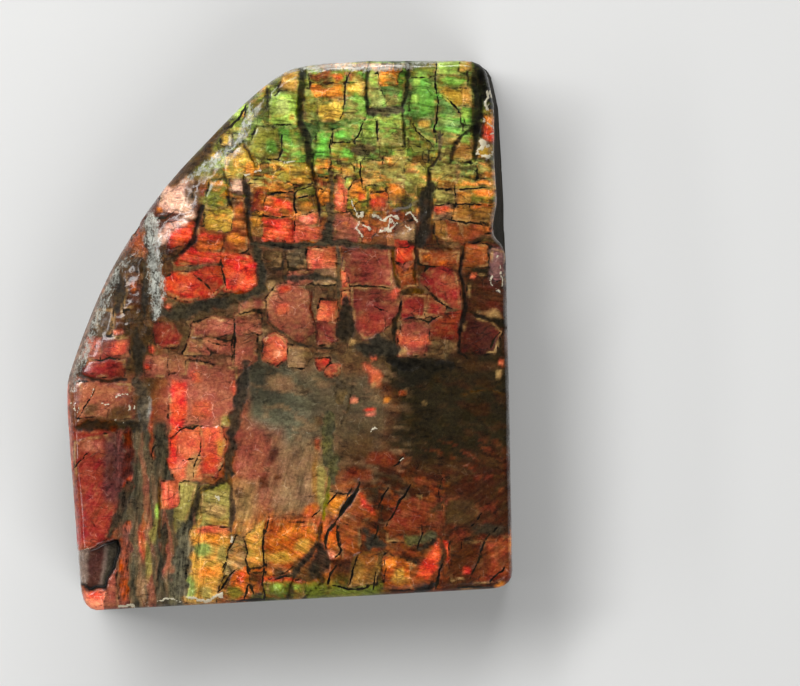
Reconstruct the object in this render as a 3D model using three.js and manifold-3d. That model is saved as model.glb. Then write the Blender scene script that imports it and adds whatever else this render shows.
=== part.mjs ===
// Ammolite specimen: a slab of shale with cracked, iridescent ammonite shell on its upper face.
// Millimetres, +Z up. The origin is the middle of the sawn back, which lies on Z = 0.
// The slab is sawn at its top, right and bottom ends and worn round along its left side.
import * as THREE from 'three';
import { mergeVertices } from 'three/addons/utils/BufferGeometryUtils.js';
import Module from 'manifold-3d';

const wasm = await Module();
wasm.setup();

// Driving dimensions
const WIDTH = 45.6;
const LENGTH = 56.2;
const THICKNESS = 12;
const SHELL = 0.9; // thickness of the shell layer that flakes off the matrix

// Edges of the slab
const RIM_RADIUS = 1.1; // tight rounding of the sawn ends
const BASE_ROUNDING = 0.6; // eased edge round the sawn back
const SHOULDER_WIDTH = 6.5; // broad rounding of the worn side, at its widest
const SHOULDER_NARROW = 2.4; // the same, along the lower left side
const SHOULDER_SLOPE = 0.46; // drop of the shoulder for each mm of its width
const DOME = 0.9; // how far the polished face falls away towards its corners

// Mesh density
const AROUND = 132;
const RIM_STEPS = [0, 0.2, 0.55, 1];
const INWARD_STEPS = [0.11, 0.23, 0.37, 0.53, 0.72, 0.88];

// Grooves
const GROOVE_LIFT = 0.5; // a groove's cutter stands this far out of the face
const GROOVE_BASE_DEPTH = 0.22;
const GROOVE_DEPTH_PER_WIDTH = 0.32;
const GROOVE_END_TAPER = 0.3;

const LEFT = -WIDTH / 2;
const RIGHT = WIDTH / 2;
const FAR = LENGTH / 2;
const NEAR = -LENGTH / 2;
const HEART = new THREE.Vector2(1.5, -1); // the rings of the face close in on this point

// The worn side, from the far end round to the near left corner
const WORN_SIDE = [
  [2.3, 27.7], [-0.4, 27], [-3.7, 24.6], [-7.3, 21.2], [-13, 15], [-17.5, 8.3],
  [-20.2, 2.8], [-22.3, -3], [LEFT, -6], [-22.4, -13], [-21.5, -25.2],
].map(([x, y]) => new THREE.Vector2(x, y));

// The sawn right end, from the near corner to the far corner
const SAWN_SIDE = [
  [RIGHT, -24], [22.3, -5.7], [22, 13.7], [21.4, 23.5], [20.9, 25.9],
].map(([x, y]) => new THREE.Vector2(x, y));

const smoothstep = THREE.MathUtils.smoothstep;

function slabOutline() {
  const shape = new THREE.Shape();
  shape.moveTo(-19.8, NEAR);
  shape.lineTo(20.5, -25.9);
  shape.quadraticCurveTo(RIGHT, -25.8, RIGHT, -24);
  shape.splineThru(SAWN_SIDE.slice(1));
  shape.quadraticCurveTo(20.7, FAR, 18.2, FAR);
  shape.lineTo(8, 28.05);
  shape.lineTo(2.3, 27.7);
  shape.splineThru(WORN_SIDE.slice(1));
  shape.quadraticCurveTo(-21.3, -27.9, -19.8, NEAR);
  const points = shape.getSpacedPoints(AROUND);
  points.pop(); // the last point closes on the first
  return points;
}

const outline = slabOutline();
const wornCurve = new THREE.SplineCurve(WORN_SIDE).getPoints(60);

// How far a point of the face lies in from the worn side
function distanceToWornSide(x, y) {
  const here = new THREE.Vector2(x, y);
  return Math.min(...wornCurve.map((point) => point.distanceTo(here)));
}

// The shoulder is broad along the upper left and narrow below and at the far end
function shoulderWidth(y) {
  const broad = smoothstep(y, -8, 2) * (1 - smoothstep(y, 19, 27));
  return SHOULDER_NARROW + (SHOULDER_WIDTH - SHOULDER_NARROW) * broad;
}

// Height of the polished face, without its grooves
function faceHeight(x, y) {
  const dome = DOME * (0.5 * ((x - 6) / 29) ** 2 + 0.5 * (y / 28) ** 2);
  const swell = 0.1 * Math.sin(x * 0.42 + 1.1) * Math.cos(y * 0.37) + 0.06 * Math.sin(x * 0.9 - y * 0.7);
  const width = shoulderWidth(y);
  const outward = Math.max(0, 1 - distanceToWornSide(x, y) / width);
  const shoulder = SHOULDER_SLOPE * width * (1 - Math.sqrt(Math.max(0, 1 - outward ** 2)));
  return THICKNESS - 0.1 - dome + swell - shoulder;
}

// The sawn side leans in towards the face, most of all beside the upper right of the face
function wallLean(point) {
  const right = smoothstep(point.x, 17, 20.5);
  const upper = smoothstep(point.y, 8.5, 10.5) * (1 - 0.6 * smoothstep(point.y, 17, 24));
  return 0.25 + right * upper * 1.2;
}

// Points of the outline moved inward, square to its edge
function insetRing(inset, heightAt) {
  return outline.map((point, i) => {
    const before = outline[(i + AROUND - 1) % AROUND];
    const after = outline[(i + 1) % AROUND];
    const along = after.clone().sub(before).normalize();
    const inward = new THREE.Vector2(-along.y, along.x);
    const moved = point.clone().addScaledVector(inward, inset(point));
    return new THREE.Vector3(moved.x, moved.y, heightAt(moved));
  });
}

// Broken, bedded surface of the matrix on the wall
function wallBump(point, level) {
  return 0.12 * Math.sin(point.y * 0.8 + level * 2.1) + 0.1 * Math.sin(point.x * 0.7 - level * 1.3);
}

function slabRings() {
  const back = insetRing(() => BASE_ROUNDING, () => 0);
  const foot = insetRing(() => 0, () => BASE_ROUNDING);
  const wall = [4.2, 7.6].map((level) => insetRing(
    (point) => wallLean(point) * (level / THICKNESS) + 0.15 + 0.5 * wallBump(point, level),
    () => level,
  ));
  const rim = RIM_STEPS.map((step) => {
    const drop = RIM_RADIUS * (1 - Math.sqrt(1 - (1 - step) ** 2));
    const inset = (point) => wallLean(point) + RIM_RADIUS * step;
    return insetRing(inset, (moved) => faceHeight(moved.x, moved.y) - drop);
  });
  const innerRim = rim[rim.length - 1];
  const face = INWARD_STEPS.map((step) => innerRim.map((point) => {
    const x = point.x + (HEART.x - point.x) * step;
    const y = point.y + (HEART.y - point.y) * step;
    return new THREE.Vector3(x, y, faceHeight(x, y));
  }));
  return [back, foot, ...wall, ...rim, ...face];
}

// A closed solid from rings of equal length, with a middle point at each end
function solidFromRings(rings, firstMiddle, lastMiddle) {
  const points = [firstMiddle, ...rings.flat(), lastMiddle];
  const last = points.length - 1;
  const faces = [];
  const at = (ring, i) => 1 + ring * AROUND + (i % AROUND);
  for (let i = 0; i < AROUND; i += 1) {
    faces.push(0, at(0, i + 1), at(0, i));
    for (let ring = 0; ring < rings.length - 1; ring += 1) {
      faces.push(at(ring, i), at(ring, i + 1), at(ring + 1, i + 1));
      faces.push(at(ring, i), at(ring + 1, i + 1), at(ring + 1, i));
    }
    faces.push(at(rings.length - 1, i), at(rings.length - 1, i + 1), last);
  }
  return indexedGeometry(points, faces);
}

function indexedGeometry(points, faces) {
  const geometry = new THREE.BufferGeometry();
  geometry.setFromPoints(points);
  geometry.setIndex(faces);
  return geometry;
}

// Grooves of the face: the wide veins of matrix between the tiles of shell, and the open cracks.
// Each has its path over the face and its width.
const VEINS = [
  // far end, running down from the sawn end
  { width: 0.95, path: [[1.5, 29], [1.5, 24], [1.1, 21.4], [1.9, 20], [2.1, 18], [2.6, 15.8], [3, 12], [3.3, 10]] },
  { width: 0.45, path: [[8.1, 29], [8, 25], [7.9, 22.5], [8.7, 21], [8.8, 19]] },
  { width: 0.6, path: [[12, 29], [11.9, 25], [11.5, 23], [11.5, 19]] },
  { width: 0.35, path: [[14.8, 29], [14.9, 25], [15, 22.5], [14.9, 19.5], [15.2, 17.8]] },
  { width: 1.1, path: [[18.8, 29], [18.8, 24], [18.3, 20.5], [17.1, 18.4]] },
  { width: 0.35, path: [[6.2, 29], [5.8, 25], [5, 21.7], [4.3, 20], [4.2, 18]] },
  { width: 0.3, path: [[-2.2, 24.5], [-2.3, 22.7], [-2.9, 20.7]] },
  { width: 0.4, path: [[-4.5, 19.2], [-3.8, 18.2], [-3.3, 17]] },
  // middle of the face, between the larger tiles
  { width: 1, path: [[4.2, 16.7], [4.5, 14.5], [4.4, 12], [4.6, 9.3], [5, 7], [4.9, 4], [5.7, 1.5], [5.6, -0.5]] },
  { width: 0.9, path: [[-3.5, 9.1], [0, 9.2], [4, 9.4], [8, 9.2], [10.6, 8.8]] },
  { width: 0.6, path: [[-8.6, 13], [-9.2, 11.5], [-10, 8.9], [-11, 8.2], [-12.3, 7.7]] },
  { width: 0.4, path: [[-6.5, 16.5], [-6, 14], [-5.7, 12.6]] },
  { width: 0.8, path: [[-4.2, 14], [-4.3, 12], [-3.8, 10], [-3.1, 7.6], [-2.9, 5.2]] },
  { width: 1.5, path: [[-13, 2.2], [-9, 2.8], [-6, 3.5], [-3, 4.7]] },
  { width: 0.4, path: [[-2.4, 3.2], [-2.2, 1.6], [-0.5, 0.1], [1.5, -1], [4.2, -1.3]] },
  { width: 0.3, path: [[2.3, 4.4], [2.4, 2.5], [2.9, 0.5], [2.8, -0.8]] },
  { width: 0.5, path: [[14, 18], [13.9, 16.5], [14, 14.3], [13.2, 11.6], [12.8, 9], [12.6, 5]] },
  { width: 0.55, path: [[17.7, 9.1], [17.2, 6.9], [17.8, 4], [17.3, 0], [17.2, -1.6], [18.4, -2.4]] },
  { width: 0.5, path: [[10.4, 9], [10.9, 5], [10.9, 2.3], [10.6, 1.2], [10.5, -1.6]] },
  { width: 0.3, path: [[17.8, 2.5], [19.5, 1.9], [21.3, 1], [23.5, 0.6]] },
  { width: 0.3, path: [[14.6, 14.4], [17, 14.8], [20.9, 14.7], [23.5, 14.6]] },
  // left side
  { width: 0.5, path: [[-24, -3.6], [-20.8, -3.9], [-18.5, -4.4], [-16.5, -4.4]] },
  { width: 1.3, path: [[-22, -9.3], [-19.5, -9.1], [-17.3, -8.9], [-14.8, -9.5]] },
  { width: 0.9, path: [[-15.6, 6.6], [-15, 3.5], [-15.5, 0.3], [-15.4, -2.8]] },
  { width: 0.3, path: [[-13.6, -11.2], [-11.9, -10.2], [-10.4, -9.2], [-8.5, -8.9]] },
  // near end
  { width: 1.1, path: [[-4.4, -3.4], [-5.2, -6.5], [-5.9, -9], [-6, -12], [-5.9, -15.5], [-5.9, -19.5]] },
  { width: 1.3, path: [[-8.1, -14.8], [-9.3, -17.6], [-10.4, -20.5], [-11.2, -24], [-11.5, -29]] },
  { width: 0.6, path: [[6.3, -13.6], [6.9, -14.9], [5.9, -16.7], [5, -18.2], [4, -19.8], [3.4, -21.4]] },
  { width: 0.7, path: [[4.4, -9], [4.4, -12.5], [3.9, -15.5], [3.4, -18.7], [2.8, -21.2], [0.8, -24], [-0.4, -27]] },
  { width: 0.35, path: [[4.9, -19.4], [5.3, -21.6], [4.6, -22.6], [4, -25.4], [2.2, -26.2], [0.2, -27.1]] },
  { width: 0.3, path: [[-2.1, -18.1], [-2.5, -20.4], [-2.8, -22.9], [-2.4, -27]] },
  { width: 0.35, path: [[-5.6, -20.1], [-6.7, -23.2], [-7.4, -26], [-7.6, -29]] },
  { width: 0.35, path: [[-4.6, -20.4], [-4.3, -22.6], [-3.8, -24.8], [-4.6, -27]] },
  { width: 0.3, path: [[11.5, -12], [9.7, -15.3], [8.9, -19.1], [8, -21.1], [6.8, -22.5], [5.8, -25.4]] },
  { width: 0.45, path: [[15.4, -20.6], [15, -23.2], [14.6, -25.4], [12.6, -26.1]] },
  { width: 0.3, path: [[21.2, -18.9], [19.8, -20.7], [18.9, -22.7], [18.2, -25]] },
];

// A wedge along the path that cuts a V-shaped groove into the face
function grooveCutter({ path, width }) {
  const points = [];
  const faces = [];
  const lastStep = path.length - 1;
  path.forEach(([x, y], i) => {
    const [beforeX, beforeY] = path[Math.max(i - 1, 0)];
    const [afterX, afterY] = path[Math.min(i + 1, lastStep)];
    const across = new THREE.Vector2(beforeY - afterY, afterX - beforeX).normalize();
    const fullness = i === 0 || i === lastStep ? GROOVE_END_TAPER : 1;
    const depth = fullness * (GROOVE_BASE_DEPTH + GROOVE_DEPTH_PER_WIDTH * width);
    const reach = (fullness * (width / 2) * (depth + GROOVE_LIFT)) / depth;
    const height = faceHeight(x, y);
    points.push(new THREE.Vector3(x + across.x * reach, y + across.y * reach, height + GROOVE_LIFT));
    points.push(new THREE.Vector3(x - across.x * reach, y - across.y * reach, height + GROOVE_LIFT));
    points.push(new THREE.Vector3(x, y, height - depth));
  });
  for (let i = 0; i < lastStep; i += 1) {
    const [a, b, c] = [3 * i, 3 * i + 1, 3 * i + 2];
    const [nextA, nextB, nextC] = [a + 3, b + 3, c + 3];
    faces.push(a, b, nextB, a, nextB, nextA);
    faces.push(a, nextA, nextC, a, nextC, c);
    faces.push(b, c, nextC, b, nextC, nextB);
  }
  const end = 3 * lastStep;
  faces.push(0, 2, 1, end, end + 1, end + 2);
  return indexedGeometry(points, faces);
}

// A block over a patch of the face, where a flake of shell has come off down to a sloping floor
function flakeCutter({ patch, middle, depth, tiltX, tiltY }) {
  const corners = patch.map(([x, y]) => new THREE.Vector2(x - middle[0], y - middle[1]));
  const block = new THREE.ExtrudeGeometry(new THREE.Shape(corners), { depth: 5, bevelEnabled: false });
  block.rotateX(tiltX);
  block.rotateY(tiltY);
  block.translate(middle[0], middle[1], faceHeight(...middle) - depth);
  return block;
}

const FLAKES = [
  { // the flake scar in the near left corner, deepest along its right edge
    patch: [
      [-23.5, -22], [-21.2, -21.8], [-20, -21.4], [-18.6, -20.9], [-17.2, -20.6], [-17, -21.6],
      [-17.6, -23], [-18.3, -24.6], [-18.5, -25.6], [-19.4, -25.5], [-20.2, -25.8], [-21, -25.3], [-23.5, -24.6],
    ],
    middle: [-19.4, -23.4],
    depth: SHELL,
    tiltX: 0.03,
    tiltY: 0.09,
  },
  { // the far right corner, where the shell is gone and the matrix shows
    patch: [[19.2, 30], [19.2, 25], [19.4, 21.5], [20.2, 17.9], [24, 17.6], [24, 30]],
    middle: [20.6, 24],
    depth: 0.75 * SHELL,
    tiltX: 0,
    tiltY: 0.22,
  },
  { // the rough pit beside the middle of the upper right
    patch: [
      [8.2, 10.4], [9.6, 9.9], [11.2, 10.2], [12.6, 10.9], [13.9, 12.4], [13.4, 13.7],
      [11.8, 12.9], [10.2, 12.6], [8.8, 12.1],
    ],
    middle: [11, 11.7],
    depth: 0.4 * SHELL,
    tiltX: 0.02,
    tiltY: -0.02,
  },
];

// Chips off the edges: the middle of each, and its size across X, Y and Z
const CHIPS = [
  { at: [-12.6, -28.2, 11], size: [4.6, 1.9, 2.4] },
  { at: [-8.6, -28, 10.6], size: [3.2, 1.3, 2] },
  { at: [-16.4, -28.6, 10.8], size: [2.6, 1.6, 2.2] },
  { at: [1.8, -27.8, 10.5], size: [3.4, 1.4, 1.8] },
  { at: [14.2, -26.9, 10.9], size: [5.2, 1.9, 2.2] },
  { at: [9.2, -27.2, 10.2], size: [2.8, 1.2, 1.8] },
  { at: [-3.9, 24.8, 10.4], size: [2.2, 1.6, 2] },
  { at: [-8.2, 20.8, 9.6], size: [2.8, 2, 2.6] },
  { at: [-16.2, 11, 9], size: [2.6, 2.2, 2.4] },
  { at: [22.2, 9.6, 11], size: [1.6, 3.4, 2] },
  { at: [21.9, 20.4, 10.4], size: [1.4, 3, 2] },
];

function chipCutter({ at, size }) {
  const chip = new THREE.IcosahedronGeometry(0.5, 1);
  chip.scale(...size);
  chip.rotateZ(at[0] * 0.05);
  chip.translate(...at);
  return chip;
}

function toSolid(geometry) {
  const plain = geometry.clone();
  plain.deleteAttribute('normal');
  plain.deleteAttribute('uv');
  const merged = mergeVertices(plain, 1e-4);
  return new wasm.Manifold(new wasm.Mesh({
    numProp: 3,
    vertProperties: new Float32Array(merged.attributes.position.array),
    triVerts: new Uint32Array(merged.index.array),
  }));
}

function toGeometry(solid) {
  const mesh = solid.getMesh();
  const geometry = new THREE.BufferGeometry();
  geometry.setAttribute('position', new THREE.BufferAttribute(mesh.vertProperties, 3));
  geometry.setIndex(new THREE.BufferAttribute(mesh.triVerts, 1));
  geometry.computeVertexNormals();
  return geometry;
}

function ammoliteSlab() {
  const heartTop = new THREE.Vector3(HEART.x, HEART.y, faceHeight(HEART.x, HEART.y));
  const heartBack = new THREE.Vector3(HEART.x, HEART.y, 0);
  let slab = toSolid(solidFromRings(slabRings(), heartBack, heartTop));
  const cutters = [...VEINS.map(grooveCutter), ...FLAKES.map(flakeCutter), ...CHIPS.map(chipCutter)];
  for (const cutter of cutters) slab = slab.subtract(toSolid(cutter));
  const geometry = toGeometry(slab);
  geometry.computeBoundingBox();
  const middle = geometry.boundingBox.getCenter(new THREE.Vector3());
  geometry.translate(-middle.x, -middle.y, 0);
  const shellAndShale = new THREE.MeshStandardMaterial({ color: 0x7a4a33, roughness: 0.3, metalness: 0 });
  const mesh = new THREE.Mesh(geometry, shellAndShale);
  mesh.name = 'ammolite_slab';
  return mesh;
}

const specimen = new THREE.Group();
specimen.add(ammoliteSlab());

export default specimen;
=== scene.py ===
"""Ammolite specimen: a sawn slab of shale with its cracked, iridescent shell face up.

Lengths in the lists below are millimetres in the slab's own frame: X across, Y along, Z up from
the sawn back. Blender's own scene is in metres.
"""

import math

import bpy
import numpy as np
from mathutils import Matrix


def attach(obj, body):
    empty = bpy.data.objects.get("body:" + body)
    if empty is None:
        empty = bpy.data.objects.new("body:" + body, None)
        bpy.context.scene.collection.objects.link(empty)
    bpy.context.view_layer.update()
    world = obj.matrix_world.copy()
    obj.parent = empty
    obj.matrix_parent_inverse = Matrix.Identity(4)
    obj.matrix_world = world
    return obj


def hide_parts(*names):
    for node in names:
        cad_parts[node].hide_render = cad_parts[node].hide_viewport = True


MM = 0.001

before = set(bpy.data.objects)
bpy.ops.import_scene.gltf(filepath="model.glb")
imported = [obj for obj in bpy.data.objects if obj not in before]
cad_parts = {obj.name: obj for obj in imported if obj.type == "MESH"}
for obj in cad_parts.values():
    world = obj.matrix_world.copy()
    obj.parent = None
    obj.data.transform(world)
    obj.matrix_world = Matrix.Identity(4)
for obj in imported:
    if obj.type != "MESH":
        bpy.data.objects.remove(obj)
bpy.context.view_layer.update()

# ---------------------------------------------------------------------------------------------
# Sizes
# ---------------------------------------------------------------------------------------------
WIDTH, LENGTH, THICKNESS = 45.6, 56.2, 12.0
RIM_RADIUS = 1.1
BASE_ROUNDING = 0.6
SHOULDER_WIDTH, SHOULDER_NARROW, SHOULDER_SLOPE = 6.5, 2.4, 0.46
DOME = 0.9
FACE_MIDDLE = THICKNESS - 0.1  # height of the face where the dome is highest
FACE_SHARE_X, FACE_SHARE_Y = 0.9885, 0.9895  # the face's size as a share of the outline's
SHELL = 0.9  # thickness of the shell layer
GROWTH_TURN = -15  # direction of the growth lines where no patch gives one, in degrees

TILE_REACH = 0.2  # how far the drawn tiles reach out towards each other
CRACK_REACH = 0.3  # how far from a crack's edge its mark fades to nothing
FAR_OFF = 9.0  # further away than any tile's seam reaches
CORNER_BLEND = 2.5  # how sharply the outward direction turns at the outline's corners
FACE_CELL = 0.26  # size of the face's quads before the seams are refined
WALL_RINGS = 20
WALL_RADIUS = 24  # turns an angle round the slab into a length along its walls
BACK_INSET = 1.2

LEFT, RIGHT, NEAR, FAR = -WIDTH / 2, WIDTH / 2, -LENGTH / 2, LENGTH / 2

# The worn side, from the far end round to the near left corner
WORN_SIDE = [
    (2.3, 27.7), (-0.4, 27), (-3.7, 24.6), (-7.3, 21.2), (-13, 15), (-17.5, 8.3),
    (-20.2, 2.8), (-22.3, -3), (LEFT, -6), (-22.4, -13), (-21.5, -25.2),
]
# The sawn right side, from the near corner to the far corner
SAWN_SIDE = [(RIGHT, -24), (22.45, -5.7), (22, 13.7), (21.4, 23.5), (20.9, 25.9)]

# ---------------------------------------------------------------------------------------------
# Colours of the shell and the shale, as sRGB 0 to 255
# ---------------------------------------------------------------------------------------------
COLOURS = {
    "lime": (166, 196, 76),
    "pale_lime": (180, 190, 100),
    "leaf": (96, 146, 48),
    "fern": (82, 112, 46),
    "emerald": (116, 190, 62),
    "sea": (106, 138, 66),
    "moss": (100, 108, 30),
    "olive": (122, 116, 38),
    "khaki": (150, 134, 66),
    "gold": (178, 134, 40),
    "amber": (200, 140, 54),
    "yellow": (240, 186, 66),
    "orange": (228, 126, 34),
    "tangerine": (190, 82, 18),
    "ochre": (140, 92, 34),
    "rust": (142, 64, 26),
    "burnt": (76, 32, 11),
    "umber": (72, 48, 22),
    "peat": (34, 26, 12),
    "coral": (202, 82, 54),
    "salmon": (230, 124, 92),
    "scarlet": (194, 46, 26),
    "flame": (226, 48, 34),
    "vermilion": (230, 62, 30),
    "crimson": (136, 38, 31),
    "blood": (118, 34, 20),
    "maroon": (70, 28, 22),
    "dusk": (60, 27, 11),
    "rose": (156, 80, 60),
    "brick": (146, 75, 54),
    "clay": (136, 100, 68),
    "tan": (172, 130, 78),
    "taupe": (86, 71, 50),
    "plum": (88, 50, 46),
    "mauve": (128, 84, 82),
    "pink": (200, 122, 106),
    "loam": (36, 28, 13),
    "ash": (97, 92, 70),
    "hazel": (84, 58, 34),
    "ember": (116, 42, 20),
    "garnet": (126, 50, 40),
    "sage": (86, 82, 50),
    "russet": (140, 56, 28),
    "slate": (54, 50, 38),
    "moor": (46, 39, 27),
    "pitch": (27, 23, 14),
    "ink": (17, 15, 11),
    "black": (9, 7, 5),
    "lilac": (128, 106, 94),
    # cream: pale shell of the lips, partly painted glints
    "cream": (216, 206, 178),
    # silver: painted glare, grey-white glints of reflected light
    "glare_silver": (184, 185, 174),
    # blush: also used for patches of painted glare on the left shoulder and along the far edge
    "blush": (216, 162, 136),
}


def linear(name):
    """A named colour as linear red, green and blue."""
    shade = np.array(COLOURS[name]) / 255
    return np.where(shade > 0.04045, ((shade + 0.055) / 1.055) ** 2.4, shade / 12.92)


# ---------------------------------------------------------------------------------------------
# The face, from the broad washes of colour to the finest cracks. A row is a colour and then
# either two opposite corners of a box or the corners of a patch, as x, y, x, y ...
# ---------------------------------------------------------------------------------------------
WASHES = [
    ("moss", -10, 16.3, 23, 29),
    ("fern", 9, 20, 19, 28),
    ("fern", -3.6, 18, 8, 22),
    ("olive", 4.6, 12.6, 22, 18.2),
    ("peat", 19, 17.6, 23, 30),
    ("umber", 12.6, 8.5, 22, 14.6),
    ("ochre", 15.6, 9, 21, 16),
    ("burnt", -15, 7.4, 3.6, 15.2),
    ("hazel", -13, -3.4, 17.4, 8.6),
    ("dusk", 10.8, 6.6, 17, 11),
    ("peat", 17.4, -3, 23, 10),
    ("umber", -23, -10, -13, 9),
    ("brick", -22, -8, -15.6, -4.4),
    ("ash", -4.6, -13, 4.6, -3),
    ("slate", -4.2, -7, 0, -3.2),
    ("taupe", 2, -9.8, 9.6, -3.4),
    ("pitch", 9.6, -2, 12, -2.4, 17.4, -1.8, 17.6, -3.6, 14, -5, 10.6, -5.4),
    ("loam", 10, -13.4, 23.4, -2.4),
    ("taupe", 3.6, -13.4, 10, -8.6),
    ("hazel", 4.6, -13.4, 9, -10),
    ("dusk", 7, -21, 23.4, -12.4),
    ("burnt", 4, -27, 23.4, -19.8),
    ("taupe", -17.6, -28.4, -8.4, -8.4),
    ("brick", -12.4, -9.2, -5, -2.4),
    ("brick", -5.6, -17, -0.8, -9.2),
    ("garnet", -5.4, -13, -2.4, -9.6),
    ("clay", -1.4, -19, 4, -10.4),
    ("tan", -6, -20.6, -3.4, -15.4),
    ("tangerine", -4.6, -24.2, 4, -18.6),
    ("ochre", -10.8, -27.6, -6, -19.4),
    ("moss", -4, -28, 9.6, -25),
    ("crimson", -23, -21.6, -17.6, -10),
]

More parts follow.
